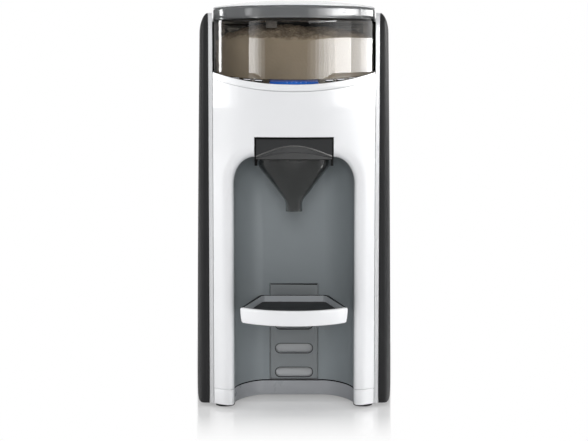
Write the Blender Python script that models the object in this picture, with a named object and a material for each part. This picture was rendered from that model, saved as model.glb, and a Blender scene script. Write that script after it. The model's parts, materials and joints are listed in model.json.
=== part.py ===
"""A countertop baby formula maker, modelled piece by piece at its real size. Lengths are in metres, +Z is
up, the front faces -Y, and the origin is on the floor, under the powder container's axis."""

from math import asin, copysign, cos, pi, radians, sin, sqrt, tan

import bmesh
import bpy
from mathutils import Vector

# Fits and walls that many pieces share
FIT = 0.0003
OVERRUN = 0.010
WALL = 0.0025
FLATNESS = 0.0000001
ROUND_SIDES = 48

# White front: an arc in plan, with its nose towards -Y
FRONT_OVERHANG = 0.033
FRONT_CENTRE_Y = -0.004
POST_DEPTH = 0.00072
POST_WIDTH = 0.0165
FRONT_STEPS = 24

# Heights of the casing
FOOT_HEIGHT = 0.003
BASE_TOP_Z = 0.016
CASE_TOP_Z = 0.317

# How far the upper pieces lie below the casing's top
WINDOW_TOP_DROP = 0.098
HEAD_FLOOR_DROP = 0.095
CONTAINER_TOP_DROP = 0.004
SEAT_DROP = 0.053
CHASSIS_TOP_DROP = 0.017
TANK_TOP_DROP = 0.006
HEATER_TOP_DROP = 0.145

# Feet
FOOT_RADIUS = 0.0078
FOOT_PLUG_RADIUS = 0.0036
FOOT_PLUG_LENGTH = 0.004
FRONT_FOOT_SIDE_INSET = 0.0085
FRONT_FOOT_END_INSET = 0.0088
REAR_FOOT_INSET = 0.0166

# Opening of the bay, with a rolled edge, and the window above it
OPENING_ARCH_HEIGHT = 0.0213
OPENING_TOP_DROP = 0.114
ROLL_RADIUS = 0.0095
OPENING_ARCH_WIDTH = 0.0167
WINDOW_HEIGHT = 0.0235
HEAD_CHEEK = 0.0035

# Bay liner
BAY_DEPTH = 0.0343
BAY_CORNER_WIDTH = 0.0233
BAY_CORNER_POWER = 1.6
LINER_WALL = 0.0022
LINER_CEILING_DROP = 0.1137
NOTCH_GAP = 0.0004

# Slot panel on the bay's back wall
SLOT_PANEL_HALF_WIDTH = 0.0198
SLOT_PANEL_TOP_Z = 0.096
SLOT_PANEL_DEPTH = 0.009
SLOT_HALF_LENGTH = 0.0152
SLOT_HALF_HEIGHT = 0.00375
SLOT_DEPTH = 0.007
SLOT_LOW_Z = 0.022
SLOT_SPACING = 0.020
SLOT_COUNT = 4

# Tray
TRAY_REACH = 0.035
TRAY_LIP_BULGE = 0.0123
TRAY_SIDE_GAP = 0.0063
TRAY_BACK_FLARE = 0.0013
TRAY_BACK_GAP = 0.0006
TRAY_TOP_Z = 0.087
TRAY_LIP_HEIGHT = 0.0117
TRAY_LIP_TAPER = 0.0016
TRAY_BACK_CHAMFER = 0.0027
TRAY_LIP_THICKNESS = 0.0036
TRAY_FLOOR_THICKNESS = 0.0047
TRAY_RIM = 0.002
TRAY_MAT_THICKNESS = 0.0012
PEG_LENGTH = 0.006

# Funnel, which slides forward on the bay's ceiling
FUNNEL_BACKSET = 0.0078
FUNNEL_WALL = 0.0016
FUNNEL_PLAN_POWER = 2.6
FUNNEL_TOP_GAP = 0.002
FUNNEL_RIM_HEIGHT = 0.0205
FUNNEL_CONE_HEIGHT = 0.030
FLANGE_WIDTH = 0.0018
FLANGE_FRONT_WIDTH = 0.0006
FLANGE_THICKNESS = 0.002
FLANGE_PLAN_POWER = 7
SPOUT_LEAD = 0.0135
SPOUT_RADIUS = 0.0066
SPOUT_LENGTH = 0.0069
COVER_LOW_GAP = 0.0009
COVER_LEG_HEIGHT = 0.0048
COVER_LEG_WIDTH = 0.0024
COVER_EDGE_THICKNESS = 0.00208

# Powder container, upright, sunk into a tilted deck
CONTAINER_RADIUS = 0.069
CONTAINER_WALL = 0.0022
CONTAINER_LEDGE = 0.0055
DECK_TILT = radians(7.2)
SEAT_GAP = 0.0004
WELL_DEPTH = 0.0073
CONTAINER_SIDE_GAP = 0.0016
OUTLET_INSET = 0.014
OUTLET_RADIUS = 0.006

# Lid
LID_INSET = 0.0006
LID_BAND_HEIGHT = 0.0096
LID_BAND_THICKNESS = 0.0025
LID_DOME_RISE = 0.0066
LID_DOME_POWER = 2.4
LID_EDGE = 0.0012
LID_SKIRT_DEPTH = 0.0026
SEAL_GROOVE = 0.001
SEAL_HEIGHT = 0.0012

# Deck, bezel and control panel
BEZEL_HEIGHT = 0.0053
BEZEL_DEPTH = 0.004
BEZEL_EDGE = 0.0008
RIM_SMILE = 0.010
RIM_SMILE_POWER = 2.2
PANEL_THICKNESS = 0.002
PANEL_DROP = 0.0004
PANEL_SWEEP = radians(77)
PANEL_STEPS = 22
BOARD_THICKNESS = 0.0016
STEP_BACK_SHARE = -0.28
STEP_FRONT_SHARE = 1.25
STEP_SIDE_SHARE = 1.07
BOARD_POCKET_MARGIN = 0.0041
BOARD_POCKET_WIDTH = 0.0205
BOARD_POCKET_SWEEP = radians(38)
BOARD_POCKET_DEPTH = 0.0103
DISPLAY_HALF_WIDTH = 0.0192
DISPLAY_BACK_SHARE = 0.10
DISPLAY_FRONT_SHARE = 0.87
KEY_ANGLES = (radians(19.5), radians(26.5), radians(33.5))
KEY_DEPTH_SHARE = 0.4632
KEY_HALF_WIDTH = 0.0037
KEY_HALF_DEPTH = 0.0031
KEY_PLAN_POWER = 3
KEY_PROUD = 0.0004
KEY_TRAVEL = 0.0008

# White side frames and the dark panels over them
FRAME_THICKNESS = 0.0031
FRAME_SPREAD = 0.0058
FRAME_CORNER = 0.012
PANEL_BULGE = 0.011
PANEL_WIDEST_Y = 0.035
PANEL_FRONT_POWER = 6
PANEL_REAR_POWER = 2.5
PANEL_FRONT_SHARE = 0.85
PANEL_TOP_ROUND = 0.013
PANEL_TOP_ANGLES = (radians(30), radians(55), radians(75), radians(90))
PANEL_TOP_FLAT_SHARE = 0.15
PANEL_TAPER_SHARE = 0.38
PANEL_TAPER_POWER = 1.4
PANEL_COLUMNS = 18

# Chassis, which stands between the container and the tank
CHASSIS_GAP = 0.005
CHASSIS_THICKNESS = 0.003

# Rear cover, which carries the tank
TANK_SHELF_Z = 0.092
SHELF_THICKNESS = 0.0025
PORT_RADIUS = 0.0055
PORT_SEAL_RADIUS = 0.0095
PORT_SEAL_HEIGHT = 0.0016
PORT_X = -0.030
SCREW_INSET = 0.0156
SCREW_Z = 0.070
SCREW_HEAD_RADIUS = 0.0033
SCREW_SHANK_RADIUS = 0.0015
SCREW_HEAD_HEIGHT = 0.0016
SCREW_LENGTH = 0.012
SCREW_SLOT_SHARE = 0.7
BOSS_RADIUS = 0.0045
GLAND_INSET = 0.0206
GLAND_Z = 0.030
GLAND_RADIUS = 0.0075
GLAND_BORE_RADIUS = 0.00375
GLAND_PROUD = 0.0025

# Water tank
TANK_SIDE_GAP = 0.0011
TANK_FRONT_GAP = 0.0012
TANK_DEPTH = 0.060
TANK_WALL = 0.0022
TANK_FLOOR = 0.003
TANK_CORNER_POWER = 6
LID_THICKNESS = 0.0025
HINGE_RADIUS = 0.003
PIN_RADIUS = 0.0014
HINGE_EAR_X = 0.040
HINGE_EAR_THICKNESS = 0.005
HINGE_HEIGHT = 0.0033
VALVE_STEM_RADIUS = 0.002
VALVE_HEAD_RADIUS = 0.0072
VALVE_TRAVEL = 0.003
VALVE_STEM_LENGTH = 0.017
SPRING_RADIUS = 0.0042
SPRING_WIRE = 0.0005
SPRING_TURNS = 4

# Stirrer, dosing wheel and their drive
STIRRER_SHAFT_RADIUS = 0.005
STIRRER_COLLAR_RADIUS = 0.009
STIRRER_ARM_GAP = 0.0048
STIRRER_ARM_WIDTH = 0.004
STIRRER_ARM_HEIGHT = 0.004
STIRRER_ARMS = 3
STIRRER_POST_RADIUS_FROM_AXIS = 0.018
STIRRER_POST_RADIUS = 0.0022
STIRRER_POST_GAP = 0.004
WHEEL_GAP = 0.0023
WHEEL_THICKNESS = 0.006
WHEEL_POCKETS = 8
WHEEL_POCKET_RADIUS = 0.0055
HEX_RADIUS = 0.004
HEX_LENGTH = 0.006
HEX_SIDES = 6
COUPLING_RADIUS = 0.0072
COUPLING_HEIGHT = 0.0074
COUPLING_RISE = 0.0027
GEAR_MODULE = 0.0015
GEAR_TEETH = 36
PINION_TEETH = 12
GEAR_ROOT_SHARE = 1.25
GEAR_TIP_SHARE = 0.9
TOOTH_ROOT_SHARE = 0.30
TOOTH_TIP_SHARE = 0.11
GEAR_WIDTH = 0.006
GEAR_DROP = 0.0195
GEAR_SHAFT_RADIUS = 0.003
PINION_SHAFT_RADIUS = 0.002
MOTOR_PLATE_GAP = 0.005
MOTOR_PLATE_THICKNESS = 0.003
BUSH_RADIUS = 0.0055
MOTOR_RADIUS = 0.0155
MOTOR_LENGTH = 0.042

# Powder chute and water nozzle, which hang from the deck over the funnel
CHUTE_RADIUS = 0.009
CHUTE_BORE_RADIUS = 0.0072
CHUTE_GAP = 0.002
NOZZLE_SETBACK = 0.004
NOZZLE_RADIUS = 0.005
NOZZLE_BORE_RADIUS = 0.002
NOZZLE_GAP = 0.003
NIPPLE_RADIUS = 0.003
NIPPLE_LENGTH = 0.006

# Heater, pump, hoses and main board
HOSE_RADIUS = 0.0036
HOSE_BORE_RADIUS = 0.0022
HEATER_INSET = 0.0286
HEATER_GAP = 0.010
HEATER_RADIUS = 0.016
HEATER_LOW_Z = 0.075
PUMP_X = 0.012
PUMP_GAP = 0.012
PUMP_RADIUS = 0.019
PUMP_HEIGHT = 0.044
MAIN_BOARD_WIDTH = 0.055
MAIN_BOARD_HEIGHT = 0.090
MAIN_BOARD_GAP = 0.0091
MAIN_BOARD_LOW_Z = 0.060
STANDOFF_LENGTH = 0.004
STANDOFF_RADIUS = 0.0025

# Places and widths that follow from the container, which stands in the middle
FRAME_REAR_X = CONTAINER_RADIUS + CONTAINER_SIDE_GAP
FRAME_FRONT_X = FRAME_REAR_X - FRAME_SPREAD
FRONT_HALF_WIDTH = FRAME_FRONT_X - FIT
FRONT_RADIUS = CONTAINER_RADIUS + FRONT_OVERHANG
FRONT_NOSE_Y = FRONT_CENTRE_Y - FRONT_RADIUS
POST_BACK_Y = FRONT_CENTRE_Y - sqrt(FRONT_RADIUS**2 - FRONT_HALF_WIDTH**2) + POST_DEPTH
OPENING_HALF_WIDTH = FRONT_HALF_WIDTH - POST_WIDTH
WINDOW_HALF_WIDTH = OPENING_HALF_WIDTH - OPENING_ARCH_WIDTH
BAY_BACK_Y = POST_BACK_Y + BAY_DEPTH
BAY_FLAT_HALF_WIDTH = OPENING_HALF_WIDTH - BAY_CORNER_WIDTH
TRAY_FRONT_Y = FRONT_NOSE_Y - TRAY_REACH
TRAY_FRONT_HALF_WIDTH = OPENING_HALF_WIDTH - TRAY_SIDE_GAP
TRAY_LIP_RADIUS = TRAY_FRONT_HALF_WIDTH + TRAY_LIP_BULGE
TRAY_BACK_HALF_WIDTH = BAY_FLAT_HALF_WIDTH + TRAY_BACK_FLARE
TRAY_BACK_Y = BAY_BACK_Y - TRAY_BACK_GAP
FLANGE_HALF_WIDTH = WINDOW_HALF_WIDTH - NOTCH_GAP
FUNNEL_HALF_WIDTH = FLANGE_HALF_WIDTH - FLANGE_WIDTH
FUNNEL_CENTRE_Y = POST_BACK_Y + FUNNEL_BACKSET
WINDOW_EDGE_Y = FRONT_CENTRE_Y - sqrt(FRONT_RADIUS**2 - WINDOW_HALF_WIDTH**2)
FLANGE_HALF_DEPTH = FUNNEL_CENTRE_Y - WINDOW_EDGE_Y - COVER_EDGE_THICKNESS - FIT
FUNNEL_HALF_DEPTH = FLANGE_HALF_DEPTH - FLANGE_FRONT_WIDTH
NOTCH_HALF_WIDTH = FUNNEL_HALF_WIDTH + NOTCH_GAP
NOTCH_BACK_Y = FUNNEL_CENTRE_Y + FLANGE_HALF_DEPTH
SPOUT_Y = FUNNEL_CENTRE_Y - SPOUT_LEAD
NOZZLE_Y = SPOUT_Y + NOZZLE_SETBACK
OUTLET_Y = OUTLET_INSET - CONTAINER_RADIUS
LID_RADIUS = CONTAINER_RADIUS - LID_INSET
WHEEL_RADIUS = CONTAINER_RADIUS - CONTAINER_WALL - WHEEL_GAP
STIRRER_ARM_LENGTH = CONTAINER_RADIUS - CONTAINER_WALL - STIRRER_ARM_GAP
CHASSIS_Y = CONTAINER_RADIUS + CHASSIS_GAP
CHASSIS_BACK_Y = CHASSIS_Y + CHASSIS_THICKNESS
TANK_FRONT_Y = CHASSIS_BACK_Y + TANK_FRONT_GAP
TANK_HALF_DEPTH = TANK_DEPTH / 2
TANK_Y = TANK_FRONT_Y + TANK_HALF_DEPTH
TANK_HALF_WIDTH = FRAME_REAR_X - TANK_SIDE_GAP
CASE_BACK_Y = TANK_FRONT_Y + TANK_DEPTH + FIT
FRONT_FOOT_X = FRONT_HALF_WIDTH - FRONT_FOOT_SIDE_INSET
FRONT_FOOT_Y = POST_BACK_Y + FRONT_FOOT_END_INSET
REAR_FOOT_X = FRAME_REAR_X - REAR_FOOT_INSET
REAR_FOOT_Y = CASE_BACK_Y - REAR_FOOT_INSET
SCREW_X = FRAME_REAR_X - SCREW_INSET
GLAND_X = FRAME_REAR_X - GLAND_INSET
HEATER_X = FRAME_REAR_X - HEATER_INSET
HEATER_Y = CHASSIS_Y - HEATER_GAP - HEATER_RADIUS
PUMP_Y = CHASSIS_BACK_Y + PUMP_GAP + PUMP_RADIUS
MAIN_BOARD_X = MAIN_BOARD_GAP + MAIN_BOARD_WIDTH / 2 - FRAME_REAR_X

# Heights and other values that follow
SEAT_Z = CASE_TOP_Z - SEAT_DROP
WELL_FLOOR_Z = SEAT_Z - WELL_DEPTH
BOARD_POCKET_Z = SEAT_Z - BOARD_POCKET_DEPTH
HEAD_FLOOR_Z = CASE_TOP_Z - HEAD_FLOOR_DROP
WINDOW_TOP_Z = CASE_TOP_Z - WINDOW_TOP_DROP
WINDOW_LOW_Z = WINDOW_TOP_Z - WINDOW_HEIGHT
OPENING_TOP_Z = CASE_TOP_Z - OPENING_TOP_DROP
OPENING_SPRING_Z = OPENING_TOP_Z - OPENING_ARCH_HEIGHT
LINER_CEILING_Z = CASE_TOP_Z - LINER_CEILING_DROP
COVER_HALF_WIDTH = WINDOW_HALF_WIDTH - FIT
COVER_LOW_Z = WINDOW_LOW_Z + COVER_LOW_GAP
COVER_TOP_Z = WINDOW_TOP_Z - FIT
FUNNEL_TOP_Z = WINDOW_TOP_Z - FUNNEL_TOP_GAP
FUNNEL_CONE_TOP_Z = FUNNEL_TOP_Z - FUNNEL_RIM_HEIGHT
FUNNEL_CONE_LOW_Z = FUNNEL_CONE_TOP_Z - FUNNEL_CONE_HEIGHT
SPOUT_LOW_Z = FUNNEL_CONE_LOW_Z - SPOUT_LENGTH
CHUTE_LOW_Z = FUNNEL_TOP_Z + CHUTE_GAP
NOZZLE_LOW_Z = FUNNEL_TOP_Z + NOZZLE_GAP
CHASSIS_TOP_Z = CASE_TOP_Z - CHASSIS_TOP_DROP
TANK_TOP_Z = CASE_TOP_Z - TANK_TOP_DROP
HEATER_TOP_Z = CASE_TOP_Z - HEATER_TOP_DROP
GEAR_TOP_Z = SEAT_Z - GEAR_DROP
MOTOR_PLATE_Z = GEAR_TOP_Z - GEAR_WIDTH - MOTOR_PLATE_GAP
CONTAINER_TOP_Z = CASE_TOP_Z - CONTAINER_TOP_DROP
STIRRER_POST_TOP_Z = CONTAINER_TOP_Z - STIRRER_POST_GAP
SEAT_RADIUS = CONTAINER_RADIUS + SEAT_GAP
PANEL_NOSE_RADIUS = FRONT_RADIUS - FRONT_CENTRE_Y - BEZEL_DEPTH
KEY_RADIUS_FROM_AXIS = SEAT_RADIUS + (PANEL_NOSE_RADIUS - SEAT_RADIUS) * KEY_DEPTH_SHARE
BOARD_POCKET_INNER_RADIUS = SEAT_RADIUS + BOARD_POCKET_MARGIN
BOARD_POCKET_OUTER_RADIUS = BOARD_POCKET_INNER_RADIUS + BOARD_POCKET_WIDTH
PANEL_HALF_WIDTH = FRAME_REAR_X + FRAME_THICKNESS + FIT + PANEL_BULGE
CONTAINER_LOW_Z = WELL_FLOOR_Z + FIT
DECK_LOW_Z = BOARD_POCKET_Z - WALL
COUPLING_TOP_Z = DECK_LOW_Z + COUPLING_RISE
LID_LOW_Z = CONTAINER_TOP_Z + FIT
LEDGE_Z = CONTAINER_LOW_Z + CONTAINER_WALL
WHEEL_Z = LEDGE_Z + FIT + CONTAINER_WALL + FIT
ARM_Z = WHEEL_Z + WHEEL_THICKNESS + STIRRER_ARM_HEIGHT / 4
TRAY_LOW_Z = TRAY_TOP_Z - TRAY_LIP_HEIGHT
TRAY_SLOT_Z = SLOT_LOW_Z + (SLOT_COUNT - 1) * SLOT_SPACING
TANK_LOW_Z = TANK_SHELF_Z + FIT
PIN_Y = TANK_Y + TANK_HALF_DEPTH - TANK_WALL / 2 - HINGE_RADIUS / 3
PIN_Z = TANK_TOP_Z + HINGE_HEIGHT
GEAR_RADIUS = GEAR_MODULE * GEAR_TEETH / 2
PINION_RADIUS = GEAR_MODULE * PINION_TEETH / 2
PINION_X = -(GEAR_RADIUS + PINION_RADIUS)


def material(name, colour, roughness, metallic=0.0, alpha=1.0):
    """A Principled material in the part's own colour."""
    made = bpy.data.materials.new(name)
    made.use_nodes = True
    shader = made.node_tree.nodes["Principled BSDF"]
    shader.inputs["Base Color"].default_value = (*colour, 1.0)
    shader.inputs["Roughness"].default_value = roughness
    shader.inputs["Metallic"].default_value = metallic
    shader.inputs["Alpha"].default_value = alpha
    return made


def clear_scene():
    for obj in list(bpy.data.objects):
        bpy.data.objects.remove(obj)


def flat(face):
    a, b, c, d = (v.co for v in face.verts)
    normal = (b - a).cross(c - a)
    return abs(normal.dot(d - a)) < FLATNESS * normal.length


def finished(name, bm, finish, origin=(0, 0, 0)):
    """Turns a bmesh in world coordinates into an object whose origin is at the given point."""
    bmesh.ops.recalc_face_normals(bm, faces=bm.faces)
    warped = [face for face in bm.faces if len(face.verts) == 4 and not flat(face)]
    bmesh.ops.triangulate(bm, faces=warped)
    bmesh.ops.translate(bm, verts=bm.verts, vec=-Vector(origin))
    mesh = bpy.data.meshes.new(name)
    bm.to_mesh(mesh)
    bm.free()
    mesh.shade_smooth()
    mesh.set_sharp_from_angle(angle=radians(35))
    obj = bpy.data.objects.new(name, mesh)
    obj.location = origin
    bpy.context.scene.collection.objects.link(obj)
    if finish:
        mesh.materials.append(finish)
    return obj


def lofted(name, rings, finish=None, origin=(0, 0, 0), through=False):
    """Skins a solid over rings of equal count. With through, the last ring joins the first round a bore."""
    bm = bmesh.new()
    made = [[bm.verts.new(point) for point in ring] for ring in rings]
    pairs = list(zip(made, made[1:])) + ([(made[-1], made[0])] if through else [])
    for low, high in pairs:
        for k in range(len(low)):
            j = (k + 1) % len(low)
            bm.faces.new((low[k], low[j], high[j], high[k]))
    if not through:
        bm.faces.new(made[0])
        bm.faces.new(made[-1])
    return finished(name, bm, finish, origin)


def prism(name, outline, low_z, high_z, finish=None, origin=(0, 0, 0)):
    """Extrudes an outline of (x, y) points upward."""
    rings = [[(x, y, z) for x, y in outline] for z in (low_z, high_z)]
    return lofted(name, rings, finish, origin)


def box(name, low, high, finish=None, origin=(0, 0, 0)):
    outline = [(low[0], low[1]), (high[0], low[1]), (high[0], high[1]), (low[0], high[1])]
    return prism(name, outline, low[2], high[2], finish, origin)


def oval(centre_x, centre_y, z, half_x, half_y, count, power=2.0, turn=0.0):
    """A level ring: an ellipse at power 2, and nearer a rounded rectangle at higher powers."""
    ring = []
    for k in range(count):
        a = turn + 2 * pi * k / count
        c, s = cos(a), sin(a)
        x = centre_x + half_x * copysign(abs(c) ** (2 / power), c)
        y = centre_y + half_y * copysign(abs(s) ** (2 / power), s)
        ring.append((x, y, z))
    return ring


def turned(name, profile, centre, count, finish=None, origin=(0, 0, 0), through=False, axis="Z", turn=0):
    """A turned solid from (radius, distance along the axis) pairs. Without through its ends are flat."""
    rings = []
    for radius, along in profile:
        ring = []
        for k in range(count):
            a = turn + 2 * pi * k / count
            u, v = radius * cos(a), radius * sin(a)
            offset = {"X": (along, u, v), "Y": (u, along, v), "Z": (u, v, along)}[axis]
            ring.append(tuple(c + o for c, o in zip(centre, offset)))
        rings.append(ring)
    return lofted(name, rings, finish, origin, through)


def as_cutter(obj):
    obj.hide_render = True
    obj.display_type = "WIRE"


def combine(target, other, operation):
    modifier = target.modifiers.new(operation.title(), "BOOLEAN")
    modifier.operation = operation
    modifier.solver = "EXACT"
    modifier.object = other
    as_cutter(other)


def cut(target, *cutters):
    for cutter in cutters:
        combine(target, cutter, "DIFFERENCE")


def join(target, *others):
    for other in others:
        combine(target, other, "UNION")


def spread(low, high, count):
    return [low + (high - low) * k / (count - 1) for k in range(count)]


def front_y(x, inset=0.0):
    """The white front's arc at x, moved in by inset."""
    return FRONT_CENTRE_Y - sqrt((FRONT_RADIUS - inset) ** 2 - x**2)


FRAME_FRONT_Y = front_y(FRAME_FRONT_X)


def frame_x(y):
    """Half the clear width between the side frames, which spread as they run back to the middle."""
    share = min(max(y / FRAME_FRONT_Y, 0), 1)
    return FRAME_REAR_X + (FRAME_FRONT_X - FRAME_REAR_X) * share


def body_outline(inset, back_y):
    """The plan between the side frames, from the front arc to back_y."""
    edge = FRONT_HALF_WIDTH
    while front_y(edge, inset) < FRAME_FRONT_Y and frame_x(front_y(edge, inset)) - FIT > edge:
        edge += FIT / 2
    arc = [(x, front_y(x, inset)) for x in spread(-edge, edge, FRONT_STEPS)]
    right = [(frame_x(y) - FIT, y) for y in (0, back_y)]
    return arc + right + [(-x, y) for x, y in reversed(right)]


def seat_height(y):
    """The tilted deck's height, level across the machine."""
    return SEAT_Z + tan(DECK_TILT) * (y + CONTAINER_RADIUS)


def rim_height(x):
    """The bezel's top edge, which rises from the nose to the side frames."""
    nose = seat_height(front_y(0, BEZEL_DEPTH))
    return nose + RIM_SMILE * (abs(x) / FRONT_HALF_WIDTH) ** RIM_SMILE_POWER


def panel_line(share):
    """The control panel's straight line at a share from -1, left, to 1, right: its end at the container,
    then its end at the bezel."""
    a = share * PANEL_SWEEP
    back = Vector((SEAT_RADIUS * sin(a), -SEAT_RADIUS * cos(a), 0))
    back.z = seat_height(back.y)
    x = share * (FRONT_HALF_WIDTH - FIT)
    front = Vector((x, front_y(x, BEZEL_DEPTH + FIT), rim_height(x) - PANEL_DROP))
    return back, front


def panel_point(share, depth_share):
    back, front = panel_line(share)
    return back.lerp(front, depth_share)


def panel_height(x, y):
    """The control panel's height over a point of the plan, found by halving."""
    low, high = -STEP_SIDE_SHARE, STEP_SIDE_SHARE
    for _ in range(40):
        middle = (low + high) / 2
        back, front = panel_line(middle)
        side = (front.x - back.x) * (y - back.y) - (front.y - back.y) * (x - back.x)
        if side > 0:
            low = middle
        else:
            high = middle
    back, front = panel_line(low)
    return back.z + (front.z - back.z) * (y - back.y) / (front.y - back.y)


def liner_plan(offset, front):
    """The bay's plan, from its right front edge round the back to its left, offset outwards."""
    reach_x = OPENING_HALF_WIDTH - BAY_FLAT_HALF_WIDTH
    reach_y = BAY_BACK_Y - POST_BACK_Y
    right = [(OPENING_HALF_WIDTH + offset, front)]
    for k in range(1, 9):
        a = pi / 2 * k / 8
        x = BAY_FLAT_HALF_WIDTH + (reach_x + offset) * max(cos(a), 0) ** (2 / BAY_CORNER_POWER)
        y = POST_BACK_Y + (reach_y + offset) * sin(a) ** (2 / BAY_CORNER_POWER)
        right.append((x, y))
    return right + [(-x, y) for x, y in reversed(right)]


def opening_cutter(name):
    """The bay opening's tool: upright sides, arched corners and an edge that flares to the front."""
    reach_x = OPENING_HALF_WIDTH - WINDOW_HALF_WIDTH
    reach_z = OPENING_TOP_Z - OPENING_SPRING_Z
    side = [(OPENING_HALF_WIDTH, -OVERRUN, 1.0, 0.0)]
    for k in range(0, 7):
        a = pi / 2 * k / 6
        x, z = WINDOW_HALF_WIDTH + reach_x * cos(a), OPENING_SPRING_Z + reach_z * sin(a)
        side.append((x, z, cos(a), sin(a)))
    outline = side + [(-x, z, -nx, nz) for x, z, nx, nz in reversed(side)]
    flare = [(x + nx * ROLL_RADIUS, z + nz * ROLL_RADIUS) for x, z, nx, nz in outline]
    rings = [[(x, front_y(0) - OVERRUN, z) for x, z in flare]]
    for k in range(6):
        a = pi / 2 * k / 5
        deep = ROLL_RADIUS * (1 - cos(a))
        wide = ROLL_RADIUS * (1 - sin(a))
        ring = [(x + nx * wide, z + nz * wide) for x, z, nx, nz in outline]
        rings.append([(x, front_y(x) + deep, z) for x, z in ring])
    rings.append([(x, POST_BACK_Y + OVERRUN, z) for x, z, nx, nz in outline])
    return lofted(name, rings)


def base(white, rubber):
    body = prism("base", body_outline(0, CASE_BACK_Y - FIT), FOOT_HEIGHT, BASE_TOP_Z - FIT, white)
    bay = prism("base_bay_tool", liner_plan(0, POST_BACK_Y - WALL), -OVERRUN, BASE_TOP_Z + OVERRUN)
    hollow_low = FOOT_HEIGHT + WALL
    inner = FRAME_REAR_X - FIT - 2 * WALL
    hollow = box("base_hollow_tool", (-inner, BAY_BACK_Y + 4 * WALL, hollow_low),
                 (inner, CASE_BACK_Y - 2 * WALL, BASE_TOP_Z + OVERRUN))
    cut(body, opening_cutter("base_opening_tool"), bay, hollow)
    plug_base, plug_top = FOOT_HEIGHT - FIT, FOOT_HEIGHT + FOOT_PLUG_LENGTH
    for end, x, y in (("front", FRONT_FOOT_X, FRONT_FOOT_Y), ("rear", REAR_FOOT_X, REAR_FOOT_Y)):
        for side, sign in (("left", -1), ("right", 1)):
            profile = [(FOOT_RADIUS - FIT, 0), (FOOT_RADIUS, FIT), (FOOT_RADIUS, plug_base)]
            profile += [(FOOT_PLUG_RADIUS, plug_base), (FOOT_PLUG_RADIUS, plug_top - FIT)]
            turned(f"foot_{end}_{side}", profile, (sign * x, y, 0), 14, rubber)
            hole = [(FOOT_PLUG_RADIUS + FIT, 0), (FOOT_PLUG_RADIUS + FIT, plug_top + FIT)]
            cut(body, turned(f"foot_hole_tool_{end}_{side}", hole, (sign * x, y, 0), 14))
    return body


def front_shell(white):
    rings = []
    for x in spread(-FRONT_HALF_WIDTH, FRONT_HALF_WIDTH, FRONT_STEPS + 1):
        top = rim_height(x) - BEZEL_HEIGHT - FIT
        back = max(POST_BACK_Y, front_y(x) + FIT)
        y = front_y(x)
        rings.append([(x, y, BASE_TOP_Z), (x, back, BASE_TOP_Z), (x, back, top), (x, y, top)])
    shell = lofted("front_shell", rings, white)
    cheek, half, back = FRONT_HALF_WIDTH - HEAD_CHEEK, WINDOW_HALF_WIDTH, POST_BACK_Y + OVERRUN
    window = box("window_tool", (-half, front_y(0) - OVERRUN, WINDOW_LOW_Z), (half, back, WINDOW_TOP_Z))
    head = [(x, front_y(x, WALL)) for x in spread(-cheek, cheek, FRONT_STEPS // 2)]
    head += [(cheek, back), (-cheek, back)]
    well = [(x, front_y(x, WALL)) for x in spread(-half, half, FRONT_STEPS // 3)]
    well += [(half, back), (-half, back)]
    cut(shell, opening_cutter("shell_opening_tool"), window)
    cut(shell, prism("head_tool", head, HEAD_FLOOR_Z, CASE_TOP_Z))
    cut(shell, prism("funnel_well_tool", well, WINDOW_LOW_Z, HEAD_FLOOR_Z + OVERRUN / 2))


def top_bezel(white):
    rings = []
    for x in spread(-FRONT_HALF_WIDTH, FRONT_HALF_WIDTH, FRONT_STEPS + 1):
        top = rim_height(x)
        low = top - BEZEL_HEIGHT
        outer, inner = front_y(x), front_y(x, BEZEL_DEPTH)
        rings.append([(x, outer, low), (x, inner, low), (x, inner, top), (x, outer + BEZEL_EDGE, top),
                      (x, outer, top - BEZEL_EDGE)])
    lofted("top_bezel", rings, white)


def panel_rings(shares, near, far, lift, thickness):
    rings = []
    for share in shares:
        back, front = panel_point(share, near), panel_point(share, far)
        up, down = Vector((0, 0, lift)), Vector((0, 0, lift - thickness))
        rings.append([tuple(back + down), tuple(front + down), tuple(front + up), tuple(back + up)])
    return rings


def display_rings(margin, lift, thickness):
    """Upright slices of the display, or of its opening with a margin, square to the front."""
    rings = []
    for x in spread(-DISPLAY_HALF_WIDTH - margin, DISPLAY_HALF_WIDTH + margin, 7):
        seat, rim = -sqrt(SEAT_RADIUS**2 - x**2), front_y(x, BEZEL_DEPTH + FIT)
        near = seat + (rim - seat) * DISPLAY_BACK_SHARE + margin
        far = seat + (rim - seat) * DISPLAY_FRONT_SHARE - margin
        ring = [(y, panel_height(x, y)) for y in (near, far)]
        (y0, z0), (y1, z1) = ring
        rings.append([(x, y0, z0 + lift - thickness), (x, y1, z1 + lift - thickness), (x, y1, z1 + lift),
                      (x, y0, z0 + lift)])
    return rings


def key_rings(angle, margin, low_z, lift):
    """A key, or its hole with a margin: upright sides and a top that follows the panel."""
    x, y = KEY_RADIUS_FROM_AXIS * sin(angle), -KEY_RADIUS_FROM_AXIS * cos(angle)
    low = oval(x, y, low_z, KEY_HALF_WIDTH + margin, KEY_HALF_DEPTH + margin, 16, KEY_PLAN_POWER)
    return [low, [(px, py, panel_height(px, py) + lift) for px, py, pz in low]]


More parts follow.
